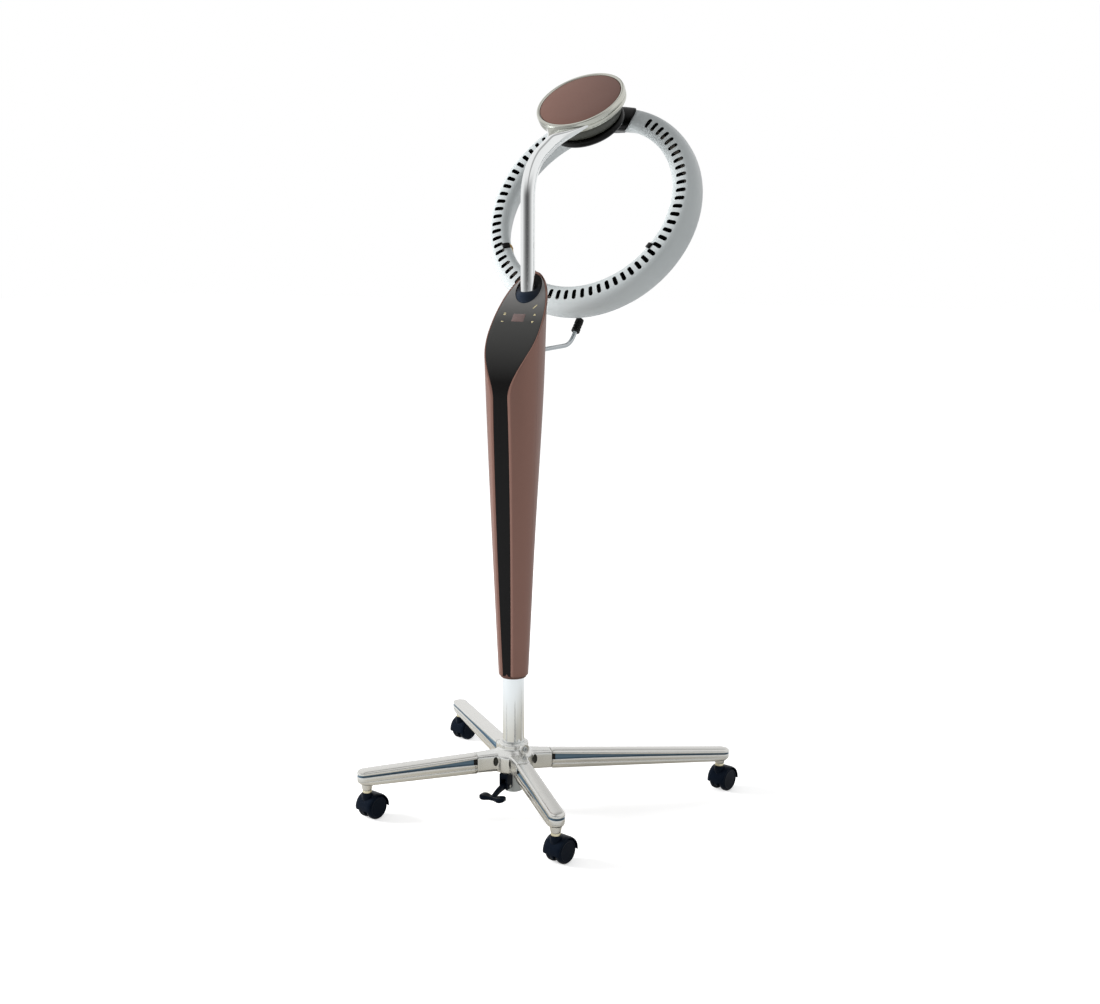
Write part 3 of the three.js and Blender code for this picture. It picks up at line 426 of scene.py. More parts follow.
# Body: a round section that grows up a curve, swollen behind, cut by a flat front that bends into the slope
body = {
    "footRadius": 29.5, "bellyHeight": 600, "bellyRadius": 58.5, "crownHeight": 815, "crownRadius": 59,
    "rearSwell": 0.36, "swellFrom": 200, "swellTo": 600, "footEdge": 2.5, "footInset": 1.1, "wall": 2.6,
    "facetFoot": 25.8, "facetTop": 50.3, "slopeFoot": 601, "slopeAngle": 55.3, "slopeBend": 150,
    "slopeLength": 400, "panelRim": 2.2, "leastRim": 0.3, "rimEdge": 1.5,
    "pocketDepth": 2.4, "pocketEdge": 0.5, "pocketEase": 6, "seam": 0.3,
    "panelFoot": 0.5, "panelTip": 0.4, "panelGap": 0.4, "panelSink": 0.1, "panelEdge": 0.8,
    "panelFall": 0.7, "panelThickness": 1.9,
    "holeWidth": 55.0, "holeFront": 155.5, "holeBack": 223.5, "holeDepth": 26, "holeSlack": 0.4,
    "backWall": 1.1,
}
bodyLow = heightsOf("rear_shell")[0]
slope = np.radians(body["slopeAngle"])


def bodyRadius(height):
    # the quadratic curve from foot over belly to crown, solved for its parameter
    a = body["crownHeight"] - 2 * body["bellyHeight"]
    b = 2 * body["bellyHeight"]
    t = (np.sqrt(b * b + 4 * a * height) - b) / (2 * a)
    return curve(t, body["footRadius"], body["bellyRadius"], body["crownRadius"])


def rearShare(height):
    return 1 + body["rearSwell"] * smooth(height, body["swellFrom"], body["swellTo"])


def frontLine(height):
    # straight facet, round bend, straight slope
    lean = np.arctan2(body["facetTop"] - body["facetFoot"], body["slopeFoot"])
    meet = np.array([-body["facetTop"], body["slopeFoot"]])
    reach = body["slopeBend"] * np.tan((np.pi / 2 + lean - slope) / 2)
    upSlope = np.array([np.cos(slope), np.sin(slope)])
    start = meet - reach * np.array([-np.sin(lean), np.cos(lean)])
    bend = curve(np.linspace(0, 1, 40)[:, None], start, meet, meet + reach * upSlope)
    line = np.concatenate([[[-body["facetFoot"], 0]], bend, [meet + body["slopeLength"] * upSlope]])
    return np.interp(height, line[:, 1], line[:, 0])


def halfWidth(height, inset=0.0):
    # of the flat front, between the round sides set in by the inset
    radius = bodyRadius(height) - inset
    front = frontLine(height)
    depth = radius * np.where(front > 0, rearShare(height), 1)
    return radius * np.sqrt(np.clip(1 - (front / depth) ** 2, 0, None))


def onSlope(points):
    # [x, rise, height] on the control face to the column's frame
    x, rise, lift = np.moveaxis(np.asarray(points, float), -1, 0)
    y = -body["facetTop"] + rise * np.cos(slope) - lift * np.sin(slope)
    z = bodyLow + body["slopeFoot"] + rise * np.sin(slope) + lift * np.cos(slope)
    return np.stack([x, y, z], -1)


# The tip is where the slope leaves the rear surface; rows stand close at the foot, the bend and the tip
heightsFine = np.linspace(body["slopeFoot"], body["crownHeight"], 4000)
tipAt = np.argmax(frontLine(heightsFine) >= bodyRadius(heightsFine) * rearShare(heightsFine))
tipHeight = heightsFine[tipAt]
bodyRows = np.concatenate([
    body["footEdge"] * np.linspace(0, 1, 6) ** 2, np.linspace(12, 400, 34), np.linspace(408, 700, 62),
    tipHeight - (tipHeight - 704) * np.linspace(1, 0, 40) ** 2])


def pair(x, y):
    return np.stack([x, y], -1)


def bends(first, middle, last, steps):
    # a quadratic curve for each row
    return curve(np.linspace(0, 1, steps)[None, :, None], first[:, None], middle[:, None], last[:, None])


def bodySkin():
    # each row is a loop: the round side from corner to corner behind, then rim, pocket and rim in front
    h = bodyRows
    foot = body["footInset"] * (1 - np.clip(h / body["footEdge"], 0, 1)) ** 2
    radius = bodyRadius(h) - foot
    front = np.where(h < 1, frontLine(h) + foot, frontLine(h))
    swell = rearShare(h)
    depth = radius * np.where(front > 0, swell, 1)
    corner = np.arcsin(np.clip(front / depth, -1, 1))
    wide = radius * np.cos(corner)
    pocket = np.minimum(halfWidth(h, body["panelRim"]), wide - body["leastRim"])
    pocket = np.maximum(pocket, 0)
    # the rim's and pocket's rounded edges shrink with the band between them
    band = wide - pocket
    cut = np.minimum(body["rimEdge"], 0.45 * band)
    trim = np.minimum(cut / radius, 0.45 * (np.pi / 2 - corner))
    lean = np.gradient(frontLine(h), h)
    sink = body["pocketDepth"] * np.sqrt(1 + lean ** 2) * smooth(pocket, 0, body["pocketEase"])
    edge = np.minimum(body["pocketEdge"], 0.4 * band)
    t = np.linspace(0, 1, 90)
    angle = corner[:, None] + trim[:, None] + (np.pi - 2 * corner - 2 * trim)[:, None] * t
    sine = np.sin(angle)
    rearward = np.where(sine > 0, swell[:, None], 1)
    side = pair(radius[:, None] * np.cos(angle), radius[:, None] * sine * rearward)
    bend = bends(side[:, -1], pair(-wide, front), pair(-wide + cut, front), 6)[:, 1:]
    lip = bends(pair(-pocket - edge, front), pair(-pocket, front), pair(-pocket, front + edge), 5)
    floor = np.stack([pair(-pocket * k, front + sink) for k in (1, 0.66, 0.33)], 1)
    left = np.concatenate([bend, lip, floor], 1)
    right = left[:, ::-1] * (-1, 1)
    middle = pair(0 * front, front + sink)[:, None]
    loop = np.concatenate([side, left, middle, right], 1)
    z = np.broadcast_to((bodyLow + h)[:, None, None], loop.shape[:2] + (1,))
    return surface(np.concatenate([loop, z], -1), wrapColumns=True)


def panelSkin():
    # the sheet that fills the pocket: rows up the front, columns across, with its edges turned down
    h = bodyRows[bodyRows > body["panelFoot"]]
    wide = halfWidth(h, body["panelRim"]) - body["panelGap"]
    kept = wide > body["panelTip"]
    h, wide = h[kept], wide[kept]
    edge = np.minimum(body["panelEdge"], 0.4 * wide)
    t = np.linspace(0, np.pi / 2, 5)
    left = -wide[:, None] + edge[:, None] * (1 - np.sin(t))
    fall = edge[:, None] * (1 - np.cos(t))
    across = (wide - edge)[:, None] * np.linspace(-1, 1, 15)
    x = np.concatenate([left[:, ::-1], across, -left], 1)
    drop = np.concatenate([fall[:, ::-1], 0 * across, fall], 1)
    y = frontLine(h)[:, None] + body["panelSink"] + drop * body["panelFall"]
    z = (bodyLow + h)[:, None] + 0 * x
    return surface(np.stack([x, y, z], -1))


def roomBehind(x, rise):
    # from the control face straight in to the body's rear surface, less the wall that has to stay there
    y = -body["facetTop"] + rise * np.cos(slope)
    radius = body["crownRadius"]
    rear = radius * (1 + body["rearSwell"]) * np.sqrt(1 - (x / radius) ** 2)
    return (rear - y) / np.sin(slope) - body["backWall"]


def holeEdge(angle, slack=0.0):
    # the oval of the arm's hole, as x and rise on the control face
    middle = (body["holeFront"] + body["holeBack"]) / 2
    half = (body["holeBack"] - body["holeFront"]) / 2
    return (body["holeWidth"] / 2 + slack) * np.cos(angle), middle + (half + slack) * np.sin(angle)


def armHole():
    # an oval cutter square to the control face, shallower where the rear wall is close
    x, rise = holeEdge(fullTurn(96), body["holeSlack"])
    lifts = (np.maximum(-body["holeDepth"], -roomBehind(x, rise)), body["holeDepth"] + 0 * x)
    rows = [np.stack([x, rise, lift], -1) for lift in lifts]
    return closedTube(onSlope(rows))


def cutBy(item, shape, finish):
    tool = newMesh("tool", shape, [finish])
    withModifiers(item, ("BOOLEAN", {"operation": "DIFFERENCE", "object": tool, "solver": "EXACT",
                                     "use_self": True, "use_hole_tolerant": True,
                                     "material_mode": "TRANSFER"}))
    bpy.data.objects.remove(tool)


def keepHalf(item, towards):
    # the half of a mesh on one side of the plane through the column's axis
    work = bmesh.new()
    work.from_mesh(item.data)
    place = Vector((0, (columnAxis[1] + towards * body["seam"] / 2) * mm, 0))
    bmesh.ops.bisect_plane(work, geom=[*work.verts, *work.edges, *work.faces], dist=1e-7, plane_co=place,
                           plane_no=(0, -towards, 0), clear_outer=True)
    work.to_mesh(item.data)
    work.free()


def buildBody():
    skin = bodySkin()
    for name, towards in (("front_shell", -1), ("rear_shell", 1)):
        shell = newMesh(f"{name}_skin", skin, ["brownPaint"])
        keepHalf(shell, towards)
        withModifiers(shell, ("SOLIDIFY", {"thickness": body["wall"] * mm, "offset": -1.0}))
        if towards > 0:
            cutBy(shell, armHole(), "brownPaint")
        dress(shell, "upper", [name], 40)
    sheet = newMesh("control_panel_sheet", panelSkin(), ["glossPanel"])
    withModifiers(sheet, ("SOLIDIFY", {"thickness": body["panelThickness"] * mm, "offset": -1.0}))
    cutBy(sheet, armHole(), "glossPanel")
    dress(sheet, "upper", ["control_panel"], 40)


buildBody()
print("body shells and panel")

# Control face: window and plain key marks
face = {"windowWidth": 27, "windowHeight": 17.5, "windowRise": 122, "windowLow": -0.6, "windowLift": 0.25,
        "windowEdge": 1.6, "windowTurn": 0.15, "markLow": -0.2, "markLift": 0.16, "markTurn": 0.05,
        "keySide": 33.5, "keyRises": (130, 113), "keySize": 5.4, "bar": 1.5, "barApart": 1.6,
        "arrowFoot": 2, "arrowTip": 2.2, "strokeLength": 11, "strokeTurn": 0.9, "strokeShift": (-5, 18)}


def slopePlate(outline, low, high, edge):
    # an outline in [x, rise] raised off the control face, its top edge turned in
    middle = outline.mean(0)
    rows = [(outline, low), (outline, high - edge), (middle + (outline - middle) * 0.97, high)]
    points = np.stack([np.concatenate([line, np.full((len(line), 1), lift)], 1) for line, lift in rows])
    return closedTube(onSlope(points))


def oblong(x, rise, width, height, turnBy=0.0, edge=0.4):
    c, s = np.cos(turnBy), np.sin(turnBy)
    corners = unitSquare * (width / 2, height / 2) @ np.array([[c, s], [-s, c]]) + (x, rise)
    return softened(corners, edge, 4, closed=True)


def buildFace():
    f = face
    pane = oblong(0, f["windowRise"], f["windowWidth"], f["windowHeight"], 0, f["windowEdge"])
    pane = slopePlate(pane, f["windowLow"], f["windowLift"], f["windowTurn"])
    newPiece("display_pane", pane, ["displayGlass"], "upper", ["display_window"])
    high, low = f["keyRises"]
    side, half = f["keySide"], f["keySize"] / 2
    # two bars over one bar on the left
    rises = (high - f["barApart"], high + f["barApart"], low)
    marks = [oblong(-side, rise, f["keySize"], f["bar"]) for rise in rises]
    # an arrow up over an arrow down on the right, and a stroke above them
    for rise, up in ((high, 1), (low, -1)):
        foot = rise - up * f["arrowFoot"]
        tip = [side, rise + up * f["arrowTip"]]
        marks.append(np.array([[side - up * half, foot], [side + up * half, foot], tip]))
    strokeX, strokeRise = f["strokeShift"]
    marks.append(oblong(side + strokeX, high + strokeRise, f["strokeLength"], f["bar"], f["strokeTurn"]))
    plates = [slopePlate(mark, f["markLow"], f["markLift"], f["markTurn"]) for mark in marks]
    newPiece("key_marks", joined(*plates), ["keyGold"], "upper")


buildFace()

# Arm, and the boot round it: proud in front, sunk behind
arm = {"radius": 14.0, "setback": 54.0, "bendReach": 60.6, "rise": 30.0, "meetHeight": -9.75,
       "flareFrom": 66.0, "flareLead": 1.1, "flareLeft": -33.0, "flareRight": 36.0, "flareMiddle": -10.4,
       "flareHeight": 6.6, "flareDepth": 0.55, "sidePull": 50, "inPull": 22, "facePull": 30}
boot = {"clear": 0.1, "innerLift": 1.3, "innerFall": 9.3, "outerLift": -2.4, "outerFall": 3.0, "lip": 3.0,
        "lipFade": 0.9, "depth": 12, "rearTop": 0.9, "rearLow": 0.5}


def buildBoot():
    # from the arm's own section out to the oval hole, with a rounded lip near the edge
    b = boot
    angle = fullTurn(96)
    sine, cosine = np.sin(angle), np.cos(angle)
    armRise = (arm["setback"] + body["facetTop"]) / np.cos(slope)
    radius = arm["radius"] + b["clear"]
    innerLift = b["innerLift"] - b["innerFall"] * sine
    innerRise = armRise + innerLift * np.tan(slope) + radius / np.cos(slope) * sine
    inner = np.stack([radius * cosine, innerRise, innerLift], -1)
    # the outer edge stays in front of the body's rear wall
    x, rise = holeEdge(angle)
    room = roomBehind(x, rise)
    outer = np.stack([x, rise, np.maximum(b["outerLift"] - b["outerFall"] * sine, b["rearTop"] - room)], -1)
    t = np.linspace(0, 1, 18)[:, None, None]
    lipShare = (1 - b["lipFade"] * sine[:, None]) / (1 + b["lipFade"])
    rows = inner + (outer - inner) * t + b["lip"] * np.sin(np.pi * t) * lipShare * (0, 0, 1)
    lowInner = inner - (0, b["depth"] * np.sin(slope), b["depth"] * np.cos(slope))
    lowOuter = np.stack([x, rise, np.maximum(-b["depth"], b["rearLow"] - room)], -1)
    rows = np.concatenate([rows, lowOuter[None], lowInner[None]])
    skin = surface(onSlope(rows), wrapRows=True, wrapColumns=True)
    newPiece("arm_boot", skin, ["navyRubber"], "upper", ["arm_grommet"], 50)


buildBoot()

# Head frame: z along the spin axis, y up the tilted disc
headAt = jointAt("ring_spin")
headZ = np.array(joints["ring_spin"]["axis"])
headX = np.array([1.0, 0, 0])
headY = np.cross(headZ, headX)
headAxes = np.array([headX, headY, headZ])
head = {"discRadius": 85.0, "discThickness": 3, "discCrown": 0.6, "discShoulder": (40, 0.55), "gap": 0.3,
        "rimWidth": 7.0, "rimTop": 1.8, "rimLow": -19.5, "bead": 3.4, "upperBulge": 0.9, "lowerBulge": 0.5,
        "grooveTop": -9.6, "grooveLow": -10.4, "grooveDepth": 0.9,
        "panTop": -3.3, "panLow": -6.5, "panHole": 20,
        "housingTop": 80.0, "housingBottom": 71.0, "housingLow": -49.8, "housingHigh": -8,
        "housingTaper": 21.0, "housingWall": 2.5, "housingHole": 8,
        "rotorRadius": 76.0, "rotorLow": -69.6, "rotorHigh": -50.6, "rotorHole": 6.3}


def onHead(profile, steps, closed=True):
    return moved(turned(profile, steps, closed), headAt, headAxes)


def buildHead():
    h = head
    radius, thick = h["discRadius"], h["discThickness"]
    inner = radius + h["gap"]
    outer = inner + h["rimWidth"]
    disc = softened([[0, h["discCrown"]], h["discShoulder"], [radius, 0], [radius, -thick], [0, -thick]],
                    [0, 20, 1.4, 0.4, 0])
    newPiece("disc_cover_panel", onHead(disc, 160, closed=False), ["discPaint"], "upper", ["disc_cover"])
    # two beads, the upper one rounder, with a fine groove between them
    low = h["rimLow"]
    t = np.linspace(np.pi, 0, 12)
    beadLow = h["rimTop"] - h["bead"]
    topBead = pair((inner + outer) / 2 + h["rimWidth"] / 2 * np.cos(t), beadLow + h["bead"] * np.sin(t))
    t = np.linspace(0, 1, 9)
    beads = ((beadLow - 0.2, h["grooveTop"], h["upperBulge"]), (h["grooveLow"], low + 2.5, h["lowerBulge"]))
    upper, lower = [pair(outer + bulge * np.sin(np.pi * t), start + (stop - start) * t)
                    for start, stop, bulge in beads]
    floor = outer - h["grooveDepth"]
    groove = [[floor, h["grooveTop"] - 0.3], [floor, h["grooveLow"] + 0.2]]
    foot = softened([[outer, low + 2.4], [outer - 0.6, low], [inner + 1, low], [inner + 1, h["panLow"]],
                     [h["panHole"], h["panLow"]], [h["panHole"], h["panTop"]], [inner, h["panTop"]]],
                    [0, 1, 0.4, 0.4, 0.3, 0.3, 0])
    rim = np.concatenate([topBead, upper, groove, lower, foot])
    newPiece("head_rim", onHead(rim, 180), ["rimMetal"], "upper", ["head_pan"], 50)
    # the housing: out along its floor, up its taper to the shoulder under the rim, and back inside
    floor, wall, hole = h["housingLow"], h["housingWall"], h["housingHole"]
    side, shoulder, waist = h["housingTop"] + 0.8, low - 0.6, floor + h["housingTaper"]
    housing = softened([[hole, floor + wall], [hole, floor], [h["housingBottom"], floor], [side, waist],
                        [side, shoulder], [inner - 1, shoulder], [inner - 1, h["housingHigh"]],
                        [h["housingTop"] - wall, h["housingHigh"]], [h["housingTop"] - wall, waist],
                        [h["housingBottom"] - wall, floor + wall]],
                       [0, 0, 5, 6, 0.8, 0.3, 0.3, 0.3, 3, 3], closed=True)
    newPiece("motor_cover", onHead(housing, 140), ["housingGrey"], "upper", ["motor_housing"])
    radius, low, high = h["rotorRadius"], h["rotorLow"], h["rotorHigh"]
    rotor = softened([[h["rotorHole"], low], [radius - 10, low], [radius, low + 8], [radius, high - 3],
                      [radius - 3, high], [h["rotorHole"], high]], [0, 6, 5, 2, 2, 0], closed=True)
    newPiece("rotor_cover", onHead(rotor, 140), ["blackNylon"], "rotor", ["rotor_disc"])


buildHead()
print("head")


def buildArm():
    # a straight rise, a bend and a straight run that flares into the rim
    a = arm
    foot = heightsOf("arm_tube")[0]
    rimRadius = head["discRadius"] + head["gap"]
    # the run meets the rim's inner edge half way down
    meet = (headAt - rimRadius * headY + a["meetHeight"] * headZ)[1:]
    climb = np.radians(a["rise"])
    ahead = np.array([np.cos(climb), np.sin(climb)])
    corner = np.array([a["setback"], meet[1] - (meet[0] - a["setback"]) * np.tan(climb)])
    bendStart, bendStop = corner - (0, a["bendReach"]), corner + ahead * a["bendReach"]
    bend = curve(np.linspace(0, 1, 28)[:, None], bendStart, corner, bendStop)
    heights = np.linspace(foot, bendStart[1], 26)[:-1]
    rise = pair(0 * heights + a["setback"], heights)
    flareStart = meet - ahead * a["flareFrom"]
    run = bendStop + (flareStart - bendStop) * np.linspace(0, 1, 8)[1:, None]
    path = np.concatenate([rise, bend, run])
    angle = fullTurn(48)
    cosine, sine = np.cos(angle), np.sin(angle)
    tube = alongPath(path, a["radius"] * cosine + 0 * path[:, :1], a["radius"] * sine + 0 * path[:, :1])
    # each line of the flare leaves along the arm and ends along the rim: a cubic between the two
    start = tube[-1]
    startPull = np.array([0, *ahead]) * a["flareFrom"] * a["flareLead"]
    left, right = a["flareLeft"], a["flareRight"]
    side = np.radians((left + right) / 2 + (right - left) / 2 * cosine)
    out = np.stack([np.sin(side), -np.cos(side), 0 * side], -1)
    along = np.stack([np.cos(side), np.sin(side), 0 * side], -1)
    cosine, sine = cosine[:, None], sine[:, None]
    end = out * (rimRadius + head["rimWidth"] * a["flareDepth"])
    end = end + (0, 0, 1) * (a["flareMiddle"] + a["flareHeight"] * sine)
    pull = along * cosine * a["sidePull"] - out * (a["inPull"] + a["facePull"] * np.abs(sine))
    end = end @ headAxes + headAt
    pull = pull @ headAxes
    s = np.linspace(0, 1, 26)[1:, None, None]
    flare = ((2 * s ** 3 - 3 * s ** 2 + 1) * start + (s ** 3 - 2 * s ** 2 + s) * startPull
             + (-2 * s ** 3 + 3 * s ** 2) * end + (s ** 3 - s ** 2) * pull)
    newPiece("arm_pipe", closedTube(np.concatenate([tube, flare])), ["chromePlate"], "upper", ["arm_tube"],
             60)


buildArm()
print("arm")

# Ring heater: an oval section carried round a circle, its front half pierced by slots
ring = {"radius": 208.0, "halfWidth": 29.0, "halfDepth": 34.5, "squareness": 2.5, "wall": 2.5,
        "drop": 207.6, "offset": 93.6, "tilt": 22.4, "pressFrom": 6.0, "pressRoom": 8.6, "pressAngle": 26.2,
        "pitch": 5.0, "clear": 30.0, "slotLength": 22.0, "slotWidth": 8.6, "slotLand": 1.6}
ringTilt = np.radians(ring["tilt"])
ringAxes = np.array([headX, np.cos(ringTilt) * headY + np.sin(ringTilt) * headZ,
                     np.cos(ringTilt) * headZ - np.sin(ringTilt) * headY])
ringAt = headAt - ring["offset"] * headY - ring["drop"] * headZ


def ringSection(angle, grow=0.0):
    # a squared-off oval from powers of sine and cosine, its inner rear corner pressed to a cone
    power = 2 / ring["squareness"]
    c, s = np.cos(angle), np.sin(angle)
    out = (ring["halfWidth"] + grow) * np.sign(c) * np.abs(c) ** power
    rise = (ring["halfDepth"] + grow) * np.sign(s) * np.abs(s) ** power
    inward, back = np.cos(np.radians(ring["pressAngle"])), np.sin(np.radians(ring["pressAngle"]))
    room = ring["pressRoom"]
    past = np.clip(-out * inward - rise * back - ring["pressFrom"] - grow, 0, None)
    pressed = past - room * (1 - np.exp(-past / room))
    return ring["radius"] + out + pressed * inward, rise + pressed * back


def roundRing(out, lift, turn):
    # points of a section carried round the ring's axis, from the ring's top
    return np.stack([-out * np.sin(turn), out * np.cos(turn), lift], -1)


def ringHalf(front):
    # rows across the section, columns round the ring; rows near a slot bend round its ends
    r = ring
    dense = np.linspace(0, np.pi, 2000)
    outs, lifts = ringSection(dense)
    length = np.concatenate([[0], np.cumsum(np.hypot(np.diff(outs), np.diff(lifts)))])
    middle = np.interp(np.pi / 2, dense, length)
    pitches = round(360 / r["pitch"])
    pitchWide = 2 * np.pi * r["radius"] / pitches
    half = r["slotWidth"] / 2
    inSlot = half * np.array([-1, -0.88, -0.56, 0, 0.56, 0.88, 1])
    land = half + r["slotLand"]
    columns = np.concatenate([inSlot, [land, pitchWide / 2, pitchWide - land]])
    # how far the slot, or the bent row beside it, reaches from the section's middle
    straight = r["slotLength"] / 2 - half
    roundEnd = np.sqrt(np.clip(half ** 2 - columns ** 2, 0, None))
    offset = np.minimum(columns, pitchWide - columns)
    easing = smooth(np.abs(offset), half, pitchWide / 2)
    reach = np.where(np.abs(columns) <= half, straight + roundEnd, straight + half * easing)
    shares = np.array([-1, -0.6, -0.2, 0.2, 0.6, 1])
    low = (middle - reach) * (np.linspace(0, 1, 17) ** 0.9)[:-1, None]
    slotRows = middle + reach * shares[:, None]
    across = np.concatenate([low, slotRows, 2 * middle - low[::-1]])
    section = np.tile(np.interp(across, length, dense), pitches)
    turn = (np.arange(pitches)[:, None] * pitchWide + columns).ravel() / r["radius"]
    turn = turn + np.radians(r["clear"] + r["pitch"] / 2)
    out, lift = ringSection(section if front else -section)
    points, faces = surface(roundRing(out, lift, turn), wrapColumns=True)
    if not front:
        return points, faces[:, ::-1]
    row, column = np.divmod(np.arange(len(faces)), len(turn))
    pitch, place = np.divmod(column, len(columns))
    slotted = pitch <= round((360 - 2 * r["clear"]) / r["pitch"])
    inRows = (row >= len(low)) & (row < len(low) + len(shares) - 1)
    hole = slotted & inRows & (place < len(inSlot) - 1)
    return points, faces[~hole]


def buildRing():
    # the inner skin and the slot walls take the near-black: painted shade inside the ring
    wall = ("SOLIDIFY", {"thickness": ring["wall"] * mm, "offset": -1.0, "material_offset": 1,
                         "material_offset_rim": 1})
    for name, front in (("ring_front", True), ("ring_rear", False)):
        newPiece(f"{name}_shell", moved(ringHalf(front), ringAt, ringAxes), ["ringPlastic", "paintedShade"],
                 "rotor", [name], 40, modifiers=[wall])


buildRing()
print("ring")

# Clips: a black block on the ring's inner shoulder, with a brass plate and two screws down the inner band
clip = {"count": 3, "blockHalf": 5.6, "plateHalf": 3.8, "blockProud": 3.4, "plateProud": 1.2, "seat": 0.1,
        "low": 186.0, "high": 104.0, "part": 135.0, "endFall": 0.4,
        "screw": 2.4, "screwTop": 1.3, "screwSide": 0.8, "screwFoot": -1, "screwAt": (166, 148)}


def buildClips():
    c = clip
    steps = np.arange(60)
    section = np.radians(np.linspace(c["low"], c["high"], len(steps)))
    fromEnd = np.minimum(steps, steps[::-1])
    block = smooth(-np.degrees(section), -c["part"] - 1, -c["part"] + 1)
    proud = c["plateProud"] + (c["blockProud"] - c["plateProud"]) * block
    proud = proud * (1 - c["endFall"] * (1 - np.clip(fromEnd / 3, 0, 1)) ** 2)
    half = (c["plateHalf"] + (c["blockHalf"] - c["plateHalf"]) * block) / (ring["radius"] - ring["halfWidth"])
    # rows across the clip, up one side, over and down the other; columns along the ring's section
    across = np.array([-1, -1, -0.9, -0.5, 0, 0.5, 0.9, 1, 1, 0])[:, None] * half
    lift = np.array([0, 0.65, 1, 1, 1, 1, 1, 0.65, 0, 0])
    out, rise = ringSection(section, c["seat"] + proud * lift[:, None])
    strap = closedTube(np.swapaxes(roundRing(out, rise, across), 0, 1))
    station = np.arange(len(strap[1])) // len(lift)
    kinds = (station < np.argmax(block > 0.5)).astype(int).tolist()
    radius, foot = c["screw"], c["screwFoot"]
    dome = softened([[0, c["screwTop"]], [radius, c["screwSide"]], [radius, foot], [0, foot]], [0, 0.7, 0, 0])
    screws = []
    for place in np.radians(c["screwAt"]):
        out, rise = ringSection(np.array([place - 0.01, place, place + 0.01]), c["plateProud"])
        along = np.array([0, out[2] - out[0], rise[2] - rise[0]])
        along /= np.linalg.norm(along)
        axes = [[1, 0, 0], along, np.cross((1, 0, 0), along)]
        screws.append(moved(turned(dome, 24), (0, out[1], rise[1]), axes))
    for i in range(c["count"]):
        turn = np.radians(360 / c["count"] * i)
        spin = [[np.cos(turn), np.sin(turn), 0], [-np.sin(turn), np.cos(turn), 0], [0, 0, 1]]
        axes = np.array(spin) @ ringAxes
        newPiece(f"clip_{i + 1}", moved(strap, ringAt, axes), ["blackNylon", "screwBrass"], "rotor",
                 [f"heater_clip_{i + 1}"], kinds=kinds)
        newPiece(f"clip_screws_{i + 1}", moved(joined(*screws), ringAt, axes), ["screwBrass"], "rotor")


buildClips()

# Bracket from the rotor to the ring, with a sleeve round the ring's top
bracket = {"halfAngle": 9.0, "slant": 7.0, "wall": 3.2, "rearShare": 0.25, "seat": 0.5, "halfBlock": 22.0,
           "start": 27.0, "stop": 68.0, "under": 0.2, "taper": 0.25}


def buildBracket():
    b = bracket
    section = fullTurn(72)
    # the sleeve reaches further along the ring in front than behind, where it is thin
    reach = np.radians(b["halfAngle"] + b["slant"] * np.sin(section))
    turn = np.array([-1, -1, -0.97, -0.9, -0.5, 0, 0.5, 0.9, 0.97, 1, 1, 0])[:, None] * reach
    share = b["rearShare"] + (1 - b["rearShare"]) * smooth(np.sin(section), -0.4, 0.4)
    proud = np.array([0, 0.62, 0.9, 1, 1, 1, 1, 1, 0.9, 0.62, 0, 0])[:, None]
    out, lift = ringSection(section, b["seat"] + proud * (b["wall"] * share - b["seat"]))
    sleeve = surface(roundRing(out, lift, turn), wrapRows=True, wrapColumns=True)
    # a rounded square carried from the rotor's underside to the sleeve
    top = ring["radius"] * ringAxes[1] + ringAt - headAt
    topY, topZ = top @ headY, top @ headZ
    square = softened(unitSquare, 0.45, 5, closed=True)
    t = np.linspace(0, 1, 14)[:, None]
    ease = smooth(t, 0, 1)
    lift = head["rotorLow"] - b["under"] + (topZ + ring["halfDepth"] / 2 - head["rotorLow"]) * t
    rootY = (b["start"] + b["stop"]) / 2
    middle = rootY + (topY - rootY) * ease
    deep = (b["stop"] - b["start"]) / 2 * (1 - b["taper"] * ease)
    web = closedTube(np.stack([b["halfBlock"] * square[:, 0] + 0 * t, middle + deep * square[:, 1],
                               lift + 0 * square[:, 0]], -1))
    holder = joined(moved(sleeve, ringAt, ringAxes), moved(web, headAt, headAxes))
    newPiece("ring_holder", holder, ["blackNylon"], "rotor", ["ring_bracket"], 40)


buildBracket()
print("clips and bracket")

# Column and the bush that guides the body on it
column = {"radius": 21.35, "wall": 2.0, "edge": 0.6}
bush = {"bore": 21.7, "radius": 27.2, "taper": 2.2, "lip": 4.6, "step": 0.3, "spigot": 25.9}


def buildColumn():
    low, high = heightsOf("column_tube")
    outer, bore = column["radius"], column["radius"] - column["wall"]
    wall = softened([[bore, low], [outer, low], [outer, high], [bore, high]], column["edge"], 3, closed=True)
    newPiece("column_pipe", turned(wall, closed=True), ["columnChrome"], "base", ["column_tube"])
    low, high = heightsOf("lower_bush")
    outer, bore, spigot, lip = bush["radius"], bush["bore"], bush["spigot"], low + bush["lip"]
    wall = softened([[bore, low], [outer - bush["taper"], low], [outer, lip], [spigot, lip + bush["step"]],
                     [spigot, high], [bore, high]], [0.4, 1.4, 0.5, 0.2, 0.3, 0.4], 4, closed=True)
    newPiece("bottom_bush", turned(wall, closed=True), ["bushBrown"], "upper", ["lower_bush"])


buildColumn()

hook = {"radius": 4.6, "height": 634.0, "reach": 223.0, "lift": 6.0, "bend": 24.0, "angle": 50.0, "tip": 46.0,
        "gap": 0.3, "capRadius": 9.0, "capLow": -12.0, "capHigh": 18.0, "capFloor": 0.5, "capTaper": 0.6,
        "gripMiddle": 0.42, "gripHalf": 0.3, "gripWaves": 5, "gripCrest": 0.55, "gripDepth": 0.81}


